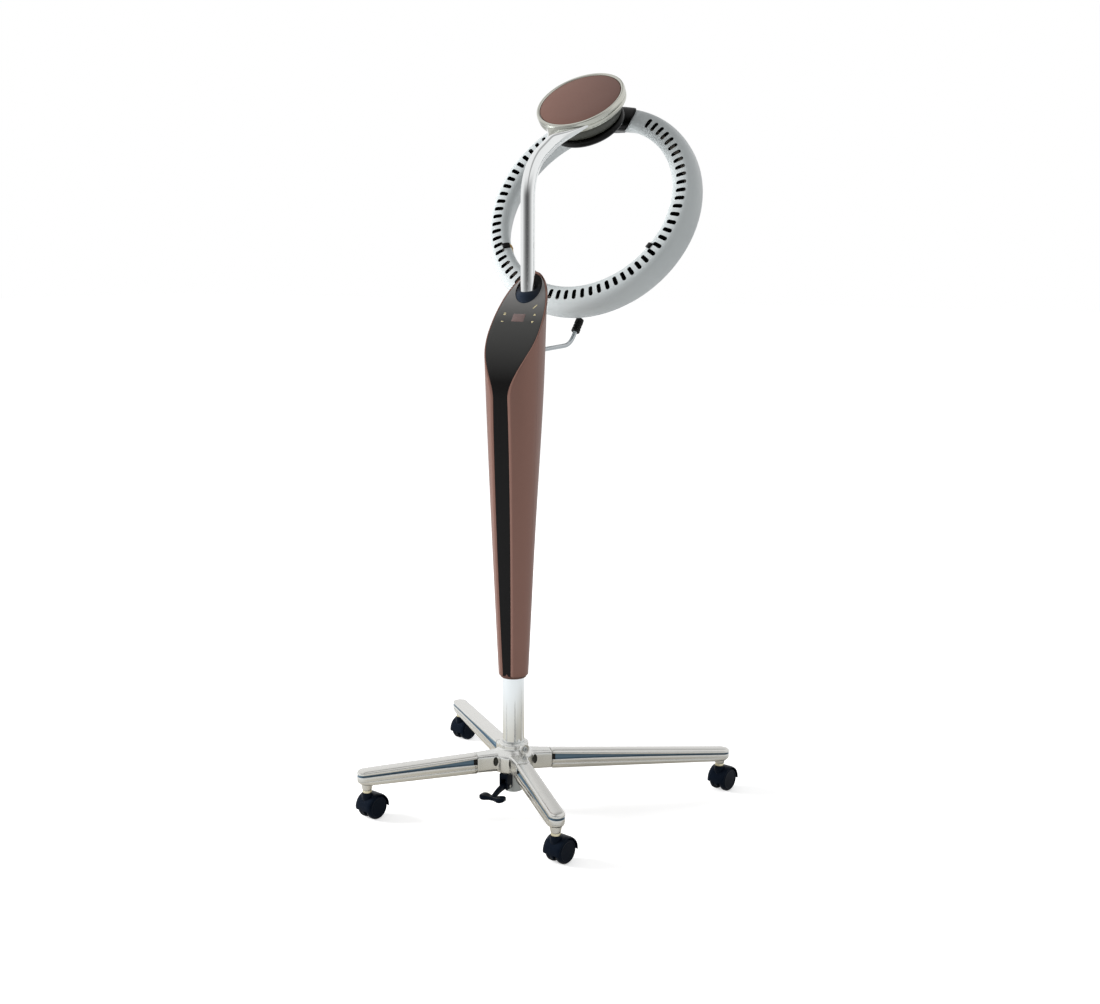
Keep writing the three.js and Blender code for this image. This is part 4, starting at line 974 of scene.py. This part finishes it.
def buildHook():
    # a straight rod, a bend and a straight tip, all in the plane through the column
    k = hook
    z = bodyLow + k["height"]
    start = np.array([arm["setback"] + arm["radius"] + k["gap"], z])
    corner = np.array([k["reach"], z + k["lift"]])
    away = np.array([np.cos(np.radians(k["angle"])), np.sin(np.radians(k["angle"]))])
    end = corner + away * k["tip"]
    into = (corner - start) / np.linalg.norm(corner - start)
    first, last = corner - into * k["bend"], corner + away * k["bend"]
    bend = curve(np.linspace(0, 1, 16)[:, None], first, corner, last)
    run = start + (first - start) * np.linspace(0, 1, 12)[:-1, None]
    path = np.concatenate([run, bend, last + (end - last) * np.linspace(0, 1, 6)[1:, None]])
    angle = fullTurn(28)
    rod = closedTube(alongPath(path, k["radius"] * np.cos(angle), k["radius"] * np.sin(angle)))
    newPiece("hook_rod", rod, ["steelRod"], "upper", ["cord_hook"])
    # a cap with grip grooves, which are the clipped troughs of a wave
    t = np.linspace(0, 1, 60)
    along = t - k["gripMiddle"]
    wave = np.clip(np.cos(along * 2 * np.pi * k["gripWaves"]), k["gripCrest"], 1)
    groove = np.where(np.abs(along) < k["gripHalf"], (1 - wave) / (1 - k["gripCrest"]), 0)
    radius = k["capRadius"] - k["gripDepth"] * groove - k["capTaper"] * t ** 3
    side = pair(radius, k["capLow"] + (k["capHigh"] - k["capLow"]) * t)
    bore = k["radius"] + k["gap"]
    top = softened([side[-1], [side[-1][0] - 0.5, k["capHigh"]], [0, k["capHigh"]]], 2, 5)
    profile = np.concatenate([[[bore, k["capLow"]]], side, top, [[0, k["capFloor"]], [bore, k["capFloor"]]]])
    axes = np.array([[1, 0, 0], [0, away[1], -away[0]], [0, *away]])
    cap = moved(turned(profile, 48, closed=True), (0, *end), axes)
    newPiece("hook_tip", cap, ["blackNylon"], "upper", ["hook_cap"])


buildHook()

gland = {"bore": 4, "spigotShare": 0.72, "flangeLow": 5.5, "flangeHigh": 4.4, "ribs": 6, "ribFrom": 4.2,
         "ribStep": 0.7, "ribInset": 2.2, "ribDepth": 0.5, "tipInset": 3.4}


def buildGland():
    # spigot, flange and a ribbed sleeve, turned about a line out of the body's back
    g = gland
    low, high = [corner - columnAxis for corner in boxOf("cord_gland")]
    deep = high[1] - low[1]
    wide = (high[0] - low[0]) / 2
    spigot, flange = wide * g["spigotShare"], deep - g["flangeLow"]
    ribs = [[wide - g["ribInset"] - g["ribDepth"] * (i % 2), deep - g["ribFrom"] + i * g["ribStep"]]
            for i in range(g["ribs"])]
    profile = np.concatenate([[[g["bore"], 0], [spigot, 0], [spigot, flange], [wide, flange],
                               [wide, deep - g["flangeHigh"]]], ribs,
                              [[wide - g["tipInset"], deep], [g["bore"], deep]]])
    outlet = moved(turned(profile, 48, closed=True), (0, low[1], (low[2] + high[2]) / 2), alongY)
    newPiece("cord_outlet", outlet, ["blackNylon"], "upper", ["cord_gland"])


buildGland()
print("column, hook, gland")

# Base: hub casting and legs
corners = ("front_left", "front_right", "rear_left", "rear_right")
base = {"hubRadius": 40.0, "hubHeight": 40, "hubReach": 76.0, "collarRadius": 29.4, "collarTop": 139.0,
        "bore": 21.7, "boreFloor": 6.2, "stubFrom": 8, "stubFlare": 3.0, "voxel": 1.3,
        "legWidth": 31.0, "legRootHeight": 36.0, "topFall": 3.9, "bottomFall": 2.0, "tipOverhang": 19.0,
        "tuckFrom": 12, "grooveDepth": 4.5, "grooveAt": 0.67, "grooveHalf": 0.15, "grooveTip": 0.35,
        "notch": 7.0, "bossFoot": 9.0, "bossSpread": 11.7, "bossSunk": 8,
        "dimpleAt": 40.0, "dimpleUp": 23.0, "dimple": (5.0, 5.0, 9.5),
        "lugSide": -18.0, "lugHeight": 129.0, "lugRadius": 11.0, "lugFoot": 22.2, "lugReach": 36.0,
        "cupRadius": 18, "cupWall": 2.5, "cupFloor": 4}
hubLow = heightsOf("base_hub")[0]
bossLow = heightsOf("leg_front_left")[0]


def legTop(reach):
    return hubLow + base["legRootHeight"] - np.tan(np.radians(base["topFall"])) * (reach - base["hubReach"])


def legLow(reach):
    return hubLow - np.tan(np.radians(base["bottomFall"])) * (reach - base["hubReach"])


def legProfile(tuck, opening):
    # [inset from the side, share of the height] from the bottom's middle up the side to the top's middle
    half, depth = base["legWidth"] / 2, base["grooveDepth"]
    line = 0.25 * depth
    low, high = [base["grooveAt"] + way * base["grooveHalf"] * opening for way in (-1, 1)]
    rows = [(half, 0), (1.2 + 6.5 * tuck, 0), (3.6 * tuck, 0.08), (1.0 * tuck, 0.19),  # tucked in at the tip
            (0, 0.28), (line, 0.29), (line, 0.34), (0, 0.35),  # the fine line
            (0, low - 0.02), (depth, low), (depth, high), (0, high + 0.02),  # the groove
            (0, 0.86), (0.5, 0.92), (2.2, 0.975), (5, 1), (half, 1)]
    return [np.stack([row[i] + 0 * tuck for row in rows], 1) for i in (0, 1)]


def legAlong(reach):
    # the profile goes out along one side, round the tip and back along the other side
    b = base
    half = b["legWidth"] / 2
    start, turnAt = b["hubReach"] + 0.3, reach + b["tipOverhang"] - half
    notch = start + b["notch"]
    run = np.unique(np.concatenate([[start, notch], np.linspace(notch, turnAt, 24)]))
    angle = np.linspace(np.pi, 0, 25)[1:-1]
    middle = np.concatenate([run, 0 * angle + turnAt, run[::-1]])
    outX = np.concatenate([0 * run - 1, np.cos(angle), 0 * run + 1])
    outY = np.concatenate([0 * run, np.sin(angle), 0 * run])
    tuck = smooth(middle + outY * half, turnAt - b["tuckFrom"], turnAt + half)
    opening = b["grooveTip"] + (1 - b["grooveTip"]) * ((turnAt - middle) / (turnAt - start)) ** 3
    inset, share = legProfile(tuck, opening)
    x = outX[:, None] * (half - inset)
    y = middle[:, None] + outY[:, None] * (half - inset)
    z = legLow(y) + (legTop(y) - legLow(y)) * share
    points = np.stack([x, y, z], -1)
    centre = 0 * points[:1] + (0, start, (legLow(start) + legTop(start)) / 2)
    points = np.concatenate([centre, points, centre])
    under, foot, spread = legLow(reach), b["bossFoot"], b["bossSpread"]
    boss = softened([[0, bossLow], [foot, bossLow], [foot + 0.6, bossLow + 1.5], [spread, under + 1],
                     [spread, under + b["bossSunk"]], [0, under + b["bossSunk"]]], [0, 0.5, 2.5, 1.5, 0.5, 0])
    boss = moved(turned(boss, 48), (0, reach, 0))
    bar = surface(points)
    station, row = np.divmod(np.arange(len(bar[1])), share.shape[1] - 1)
    kinds = np.isin(row, (8, 9, 10)).astype(int)  # the groove's walls and floor: painted shade, dark slate
    last = len(points) - 2
    kinds[(kinds == 1) & ((station == 1) | (station == last - 1))] = 2  # the groove's open ends at the hub: painted shade, near-black
    return joined(bar, boss), np.concatenate([kinds, np.zeros(len(boss[1]), int)]).tolist()


def hubParts():
    # one stub of the casting, a rounded bar out to the leg, and the dimple on each of its sides
    b = base
    run = np.linspace(b["stubFrom"], b["hubReach"] - 0.2, 20)
    half = b["legWidth"] / 2 + b["stubFlare"] * (1 - smooth(run, 30, 70))
    loop = softened([[-1, 0], [1, 0], [1, 1], [-1, 1]], 0.22, 6, closed=True)
    x = half[:, None] * loop[:, 0]
    z = legLow(run)[:, None] + (legTop(run) - legLow(run))[:, None] * loop[:, 1]
    stub = closedTube(np.stack([x, run[:, None] + 0 * x, z], -1))
    t = np.linspace(0, np.pi, 13)
    points, faces = turned(pair(np.sin(t), -np.cos(t)), 24)
    side = np.interp(b["dimpleAt"], run, half)
    return stub, [(points * b["dimple"] + (way * side, b["dimpleAt"], hubLow + b["dimpleUp"]), faces)
                  for way in (-1, 1)]


def buildBase():
    b = base
    bevel = ("BEVEL", {"width": 0.6 * mm, "segments": 2, "limit_method": "ANGLE",
                       "angle_limit": np.radians(40)})
    stub, dishes = hubParts()
    stubs, dimples = [], []
    for corner in corners:
        place = jointAt(f"swivel_{corner}")
        reach = np.hypot(place[0], place[1])
        out = np.array([place[0], place[1], 0]) / reach
        axes = np.array([[out[1], -out[0], 0], out, [0, 0, 1]])
        bar, kinds = legAlong(reach)
        newPiece(f"leg_bar_{corner}", moved(bar, (0, 0, 0), axes),
                 ["legAluminium", "grooveShade", "paintedShade"], "base", [f"leg_{corner}"],
                 40, modifiers=[bevel], kinds=kinds)
        stubs.append(moved(stub, (0, 0, 0), axes))
        dimples.extend(moved(dish, (0, 0, 0), axes) for dish in dishes)
    # hub and stubs flow into one casting, then the bore and the dimples are cut
    radius, collar, high, top = b["hubRadius"], b["collarRadius"], hubLow + b["hubHeight"], b["collarTop"]
    hub = softened([[0, hubLow], [radius, hubLow], [radius, high - 5], [collar + 5, high + 1],
                    [collar, high + 4], [collar, top - 1], [collar - 2, top], [0, top]],
                   [0, 3, 6, 4, 4, 1.5, 1, 0])
    casting = newMesh("hub_casting", joined(turned(hub, 96), *stubs), ["castAluminium"])
    withModifiers(casting, ("REMESH", {"mode": "VOXEL", "voxel_size": b["voxel"] * mm}),
                  ("SMOOTH", {"factor": 0.5, "iterations": 10}))
    floor = hubLow + b["boreFloor"]
    bore = turned([[0, floor], [b["bore"], floor], [b["bore"], top + 20], [0, top + 20]], 96)
    # the cut faces take the dark housing grey: painted shade in the dimples
    cutBy(casting, joined(bore, *dimples), "housingGrey")
    dress(casting, "base", ["base_hub"], 50)
    # clamp lug and screw on the collar
    side = np.radians(b["lugSide"])
    axes = np.array([[-np.sin(side), np.cos(side), 0], [0, 0, 1], [np.cos(side), np.sin(side), 0]])
    place = (0, 0, b["lugHeight"])
    foot, reach, radius = b["lugFoot"], b["lugReach"], b["lugRadius"]
    lug = softened([[0, foot], [radius, foot], [radius, reach], [radius - 3, reach], [radius - 4, reach - 2],
                    [0, reach - 2]], [0, 0.2, 1.6, 0.6, 0.6, 0])
    newPiece("collar_lug", moved(turned(lug, 48), place, axes), ["castAluminium"], "base")
    screw = softened([[0, reach - 1.2], [2, reach - 1.2], [2.4, reach + 0.6], [4.2, reach + 0.6],
                      [5, reach - 0.2], [5, reach - 3], [0, reach - 3]], [0, 0.2, 0.3, 0.4, 0.4, 0.2, 0])
    newPiece("collar_screw", moved(turned(screw, 36), place, axes), ["steelRod"], "base")
    low, high = heightsOf("release_housing")
    radius, inner, floor = b["cupRadius"], b["cupRadius"] - b["cupWall"], low + b["cupFloor"]
    cup = softened([[0, low], [radius, low], [radius, high], [inner, high], [inner, floor], [0, floor]],
                   [0, 2, 0.5, 0.5, 1, 0])
    newPiece("release_cup", turned(cup, 72), ["cupGrey"], "base", ["release_housing"])


buildBase()
print("hub and legs")

# Casters: stem, hood and twin wheels
caster = {"trail": 13.0, "axle": 24.0, "wheelRadius": 24.0, "wheelInner": 5.0, "wheelOuter": 19.0,
          "wheelBore": 4.3, "treadFrom": 8.5, "treadTo": 15.5, "hoodInner": 25.4, "hoodOuter": 28.0,
          "hoodHalf": 20.0, "hoodFrom": -4, "hoodTo": 186, "web": 3.6, "webLow": 13.0,
          "bossRadius": 11.0, "bossLow": 36, "bossWaist": 44, "bossTop": 55.0,
          "stemRadius": 5.5, "collarRadius": 9.0, "collarLow": 55.3, "collarHigh": 60.6}


def wheelShape(sideways):
    c = caster
    radius, inner, outer, bore = c["wheelRadius"], c["wheelInner"], c["wheelOuter"], c["wheelBore"]
    profile = softened([[0, outer - 0.6], [bore, outer - 0.6], [bore, inner], [radius - 3, inner],
                        [radius, c["treadFrom"]], [radius, c["treadTo"]], [radius - 3.5, outer],
                        [radius - 5.5, outer], [radius - 6, outer - 0.5], [0, outer + 0.1]],
                       [0, 0.2, 0.3, 2, 2.5, 3, 1, 0.3, 0.3, 0], 5)
    profile[:, 1] *= sideways
    return moved(turned(profile, 64), (0, 0, 0), alongX)


def hoodShape():
    # an arched shell over both wheels, a middle web and the swivel boss
    c = caster
    angle = np.radians(np.linspace(c["hoodFrom"], c["hoodTo"], 44))[:, None]
    half, inner, outer = c["hoodHalf"], c["hoodInner"], c["hoodOuter"]
    loop = softened([[-half, inner], [half, inner], [half, outer - 1.5], [half - 5, outer],
                     [-half + 5, outer], [-half, outer - 1.5]], [0.3, 0.3, 1.2, 4, 4, 1.2], 4, closed=True)
    across, out = loop.T
    arch = np.stack([across + 0 * angle, c["trail"] + out * np.cos(angle),
                     c["axle"] + out * np.sin(angle)], -1)
    web = c["web"]
    disc = softened([[0, -web], [inner + 1, -web], [inner + 1, web], [0, web]], [0, 1, 1, 0], 3)
    points, faces = moved(turned(disc, 64), (0, c["trail"], c["axle"]), alongX)
    points[:, 2] = np.maximum(points[:, 2], c["webLow"])  # cut off level below
    radius, low, top = c["bossRadius"], c["bossLow"], c["bossTop"]
    boss = softened([[0, low], [radius - 2, low], [radius, c["bossWaist"]], [radius, top], [0, top]],
                    [0, 2, 3, 1.6, 0])
    return joined(closedTube(arch), (points, faces), turned(boss, 48))


def buildCasters():
    c = caster
    stem, collar = c["stemRadius"], c["collarRadius"]
    for corner in corners:
        place = jointAt(f"swivel_{corner}") * (1, 1, 0)
        along = np.array(joints[f"roll_{corner}"]["axis"])
        axes = np.array([along, np.cross((0, 0, 1), along), (0, 0, 1)])
        newPiece(f"hood_{corner}", moved(hoodShape(), place, axes), ["casterNylon"], f"caster_{corner}",
                 [f"caster_hood_{corner}"], 40)
        axle = jointAt(f"roll_{corner}")
        for side, sideways in (("right", 1), ("left", -1)):
            newPiece(f"wheel_{side}_{corner}", moved(wheelShape(sideways), axle, axes), ["casterNylon"],
                     f"wheels_{corner}", [f"caster_wheel_{side}_{corner}"])
        low, high = heightsOf(f"caster_stem_{corner}")
        profile = softened([[0, low], [stem, low], [stem, c["collarLow"]], [collar, c["collarLow"]],
                            [collar, c["collarHigh"]], [stem, c["collarHigh"]], [stem, high], [0, high]],
                           [0, 0.6, 0.2, 0.8, 0.8, 0.2, 0.8, 0], 3)
        newPiece(f"stem_{corner}", moved(turned(profile, 48), place), ["paleBrass"], "base",
                 [f"caster_stem_{corner}"])


buildCasters()
print("casters")

# Foot pedal: bracket with two cheeks, lever and cross pad
pedal = {"bracketHalf": 9.0, "cheek": 3.4, "bridge": 5, "back": 2.6, "leverHalf": 4.8, "leverNarrows": 0.8,
         "leverTall": 6.2, "leverThins": 2.4, "leverArch": 3.0, "eye": 6.4, "eyeBore": 3.3, "padHalf": 28.0,
         "padDepth": 12.0, "padHeight": 4.5, "padLift": 1.2, "reach": 48.0, "fall": 11.0}


def buildPedal():
    p = pedal
    pivot = jointAt("pedal_press")
    low, high = [corner - columnAxis for corner in boxOf("pedal_bracket")]
    middle, half = (low + high) / 2, (high - low) / 2
    inside = p["bracketHalf"] - 1
    parts = [roundedBlock((side * (p["bracketHalf"] - p["cheek"] / 2), middle[1], middle[2]),
                          (p["cheek"] / 2, half[1], half[2]), 1.4) for side in (-1, 1)]
    parts.append(roundedBlock((0, middle[1], high[2] - p["bridge"]), (inside, half[1], p["bridge"]), 1.2))
    parts.append(roundedBlock((0, high[1] - p["back"], middle[2]), (inside, p["back"], half[2]), 1.2))
    newPiece("pedal_holder", joined(*parts), ["casterNylon"], "base", ["pedal_bracket"])
    wide, bore = p["leverHalf"], p["eyeBore"]
    eye = softened([[bore, -wide], [p["eye"], -wide], [p["eye"], wide], [bore, wide]], 0.8, 3, closed=True)
    eye = moved(turned(eye, 40, closed=True), pivot, alongX)
    # the lever arches a little from the eye to the pad and grows thinner
    padAt = pivot - (0, p["reach"], p["fall"])
    t = np.linspace(0, 1, 12)[:, None]
    path = pivot[1:] * (1 - t) + padAt[1:] * t
    path[:, 1] += p["leverArch"] * np.sin(np.pi * t[:, 0])
    loop = softened(unitSquare, 0.5, 4, closed=True)
    lever = alongPath(path, (wide - p["leverNarrows"] * t) * loop[:, 0],
                      (p["leverTall"] - p["leverThins"] * t) * loop[:, 1])[1:]
    # the pad is wider at its two ends, like a bow
    s = np.linspace(-1, 1, 30)[:, None]
    endRound = np.sqrt(np.clip(1 - np.abs(s) ** 8, 0.002, 1))
    bow = smooth(np.abs(s), 0.1, 0.7)
    depth = p["padDepth"] * (0.6 + 0.4 * bow) * endRound
    height = p["padHeight"] * (0.75 + 0.35 * bow) * endRound ** 0.6
    pad = np.stack([p["padHalf"] * s + 0 * loop[:, 0], padAt[1] + depth * loop[:, 0],
                    padAt[2] + height * loop[:, 1] + p["padLift"] * s ** 2], -1)
    newPiece("pedal_lever", joined(eye, closedTube(lever), closedTube(pad)), ["casterNylon"], "pedal",
             ["foot_pedal"], 45)


buildPedal()
print("pedal")

# Nodes that stay as they are in the frame get a finish
insideLooks = {"housingGrey": ["gas_spring_cylinder"], "boardGreen": ["control_board"],
               "quartz": ["heater_tube_1", "heater_tube_2", "heater_tube_3"],
               "steelRod": ["gas_spring_rod", "carriage_tube", "arm_socket", "gear_motor", "rotor_shaft",
                            "pedal_pin", *[f"caster_axle_{corner}" for corner in corners]]}
for look, nodes in insideLooks.items():
    for node in nodes:
        mesh = frame["nodes"][node].data
        mesh.materials.clear()
        mesh.materials.append(looks[look])

# Studio: pale floor, white surround, soft lamps; reaches and distances in metres
studio = {"floorSize": 60.0, "floorTone": 0.82, "glowReach": (0.6, 2.4), "glow": (0.52, 0.68),
          # mirror reach, glow and tones: painted shade on the floor round the object, seen only in
          # reflections
          "mirrorReach": (0.3, 0.75), "mirrorGlow": (0.07, 0.45), "nearTone": "#c2bdb0", "farTone": "#b0b4b6",
          "worldLevel": 0.5, "darkSide": (0.34, -0.94, 0.0), "sideRun": (0.15, 1.0), "sideTones": (0.97, 0.1),
          "bandRun": (0.02, 0.26), "bandTones": (0.4, 0.95), "topRun": (0.1, 0.75)}
lamps = {"key": {"place": (-3.7, -1.7, 1.7), "aim": (0, 0, 0.8), "size": 1.8, "power": 245},
         "fill": {"place": (2.6, -1.2, 2.2), "aim": (0, 0, 0.8), "size": 2.0, "power": 6},
         "back": {"place": (0.3, 2.6, 2.8), "aim": (0, 0, 1.0), "size": 2.0, "power": 14}}
photoCamera = {"place": (1.4556, -2.5066, 1.0911), "ahead": (-0.492, 0.8548, -0.165), "lens": 47.706,
               "roll": 0.2}


def buildFloor():
    mesh = bpy.data.meshes.new("floor")
    mesh.from_pydata([(x, y, 0) for x, y in unitSquare * studio["floorSize"] / 2], [], [(0, 1, 2, 3)])
    item = bpy.data.objects.new("floor", mesh)
    bpy.context.scene.collection.objects.link(item)
    look = bpy.data.materials.new("paleFloor")
    look.use_nodes = True
    tree = look.node_tree
    shader = tree.nodes["Principled BSDF"]
    shader.inputs["Roughness"].default_value = 0.9
    shader.inputs["Specular IOR Level"].default_value = 0.0
    shader.inputs["Emission Color"].default_value = (1, 1, 1, 1)
    # the eye sees white far off and the shadows close by; mirrors see a warmer, dimmer floor close by:
    # painted shade round the object that shows only in reflections
    path = addNode(tree, "ShaderNodeLightPath")
    place = addNode(tree, "ShaderNodeTexCoord")
    length = addNode(tree, "ShaderNodeVectorMath", operation="LENGTH")
    wide = addRange(tree, studio["glowReach"], studio["glow"])
    far = addRange(tree, studio["mirrorReach"], studio["mirrorGlow"])
    near = addRange(tree, studio["mirrorReach"], (1.0, 0.0))
    seen = addMath(tree, "MAXIMUM")
    shown = addMath(tree, "MULTIPLY")
    glow = addMath(tree, "MULTIPLY_ADD")
    mirrorTones = {6: tint(studio["farTone"]), 7: tint(studio["nearTone"])}
    mirrored = addNode(tree, "ShaderNodeMix", mirrorTones, data_type="RGBA")
    color = addNode(tree, "ShaderNodeMix", {6: (*[studio["floorTone"]] * 3, 1)}, data_type="RGBA")
    link(tree, (place, "Object", length, 0),
         *[(length, "Value", reach, "Value") for reach in (wide, far, near)],
         (path, "Is Camera Ray", seen, 0), (path, "Is Transmission Ray", seen, 1), (seen, 0, shown, 0),
         (wide, "Result", shown, 1), (path, "Is Glossy Ray", glow, 0), (far, "Result", glow, 1),
         (shown, 0, glow, 2), (glow, 0, shader, "Emission Strength"), (near, "Result", mirrored, 0),
         (mirrored, 2, color, 7), (path, "Is Glossy Ray", color, 0), (color, 2, shader, "Base Color"))
    mesh.materials.append(look)


def buildWorld():
    # white to the eye; a plain level for light; mirrors see white with a darker side towards the camera
    # and a narrow dark band from there over the top
    world = bpy.data.worlds.new("studio")
    bpy.context.scene.world = world
    world.use_nodes = True
    tree = world.node_tree
    sky = tree.nodes["Background"]
    sky.inputs["Color"].default_value = (1, 1, 1, 1)
    dark = Vector(studio["darkSide"]).normalized()
    path = addNode(tree, "ShaderNodeLightPath")
    place = addNode(tree, "ShaderNodeTexCoord")
    aim = addNode(tree, "ShaderNodeVectorMath", {1: tuple(dark)}, operation="DOT_PRODUCT")
    side = addRange(tree, studio["sideRun"], studio["sideTones"], "LINEAR")
    across = addNode(tree, "ShaderNodeVectorMath", {1: (-dark.y, dark.x, 0)}, operation="DOT_PRODUCT")
    apart = addMath(tree, "ABSOLUTE")
    over = addRange(tree, studio["bandRun"], studio["bandTones"])
    part = addNode(tree, "ShaderNodeSeparateXYZ")
    above = addRange(tree, studio["topRun"])
    around = addNode(tree, "ShaderNodeMix", data_type="FLOAT")
    eye = addMath(tree, "MAXIMUM")
    plain = addNode(tree, "ShaderNodeMix", {2: studio["worldLevel"]}, data_type="FLOAT")
    shown = addNode(tree, "ShaderNodeMix", {3: 1.0}, data_type="FLOAT")
    link(tree, *[(place, "Generated", node, 0) for node in (aim, part, across)],
         (aim, "Value", side, "Value"), (side, "Result", around, 2), (across, "Value", apart, 0),
         (apart, 0, over, "Value"), (over, "Result", around, 3), (part, "Z", above, "Value"),
         (above, "Result", around, 0), (path, "Is Glossy Ray", plain, 0), (around, 0, plain, 3),
         (path, "Is Camera Ray", eye, 0), (path, "Is Transmission Ray", eye, 1), (eye, 0, shown, 0),
         (plain, 0, shown, 2), (shown, 0, sky, "Strength"))


def addLamp(name, place, aim, size, power):
    data = bpy.data.lights.new(name, "AREA")
    data.shape = "DISK"
    data.size = size
    data.energy = power
    lamp = bpy.data.objects.new(name, data)
    lamp.visible_glossy = False  # mirrors see the surround alone
    lamp.location = place
    lamp.rotation_euler = (Vector(aim) - Vector(place)).to_track_quat("-Z", "Y").to_euler()
    bpy.context.scene.collection.objects.link(lamp)


def addCamera():
    ahead = Vector(photoCamera["ahead"]).normalized()
    right = ahead.cross(Vector((0, 0, 1))).normalized()
    up = right.cross(ahead)
    turn = np.radians(photoCamera["roll"])
    leanRight = right * np.cos(turn) + up * np.sin(turn)
    leanUp = up * np.cos(turn) - right * np.sin(turn)
    data = bpy.data.cameras.new("photo_view")
    data.sensor_width = 36.0
    data.sensor_fit = "HORIZONTAL"
    data.lens = photoCamera["lens"]
    data.clip_end = 100.0
    camera = bpy.data.objects.new("photo_view", data)
    spin = Matrix([leanRight, leanUp, -ahead]).transposed().to_4x4()
    camera.matrix_world = Matrix.Translation(photoCamera["place"]) @ spin
    bpy.context.scene.collection.objects.link(camera)
    bpy.context.scene.camera = camera


buildFloor()
buildWorld()
for name, values in lamps.items():
    addLamp(name, **values)
addCamera()
bpy.context.scene.view_settings.view_transform = "Standard"
print("studio")
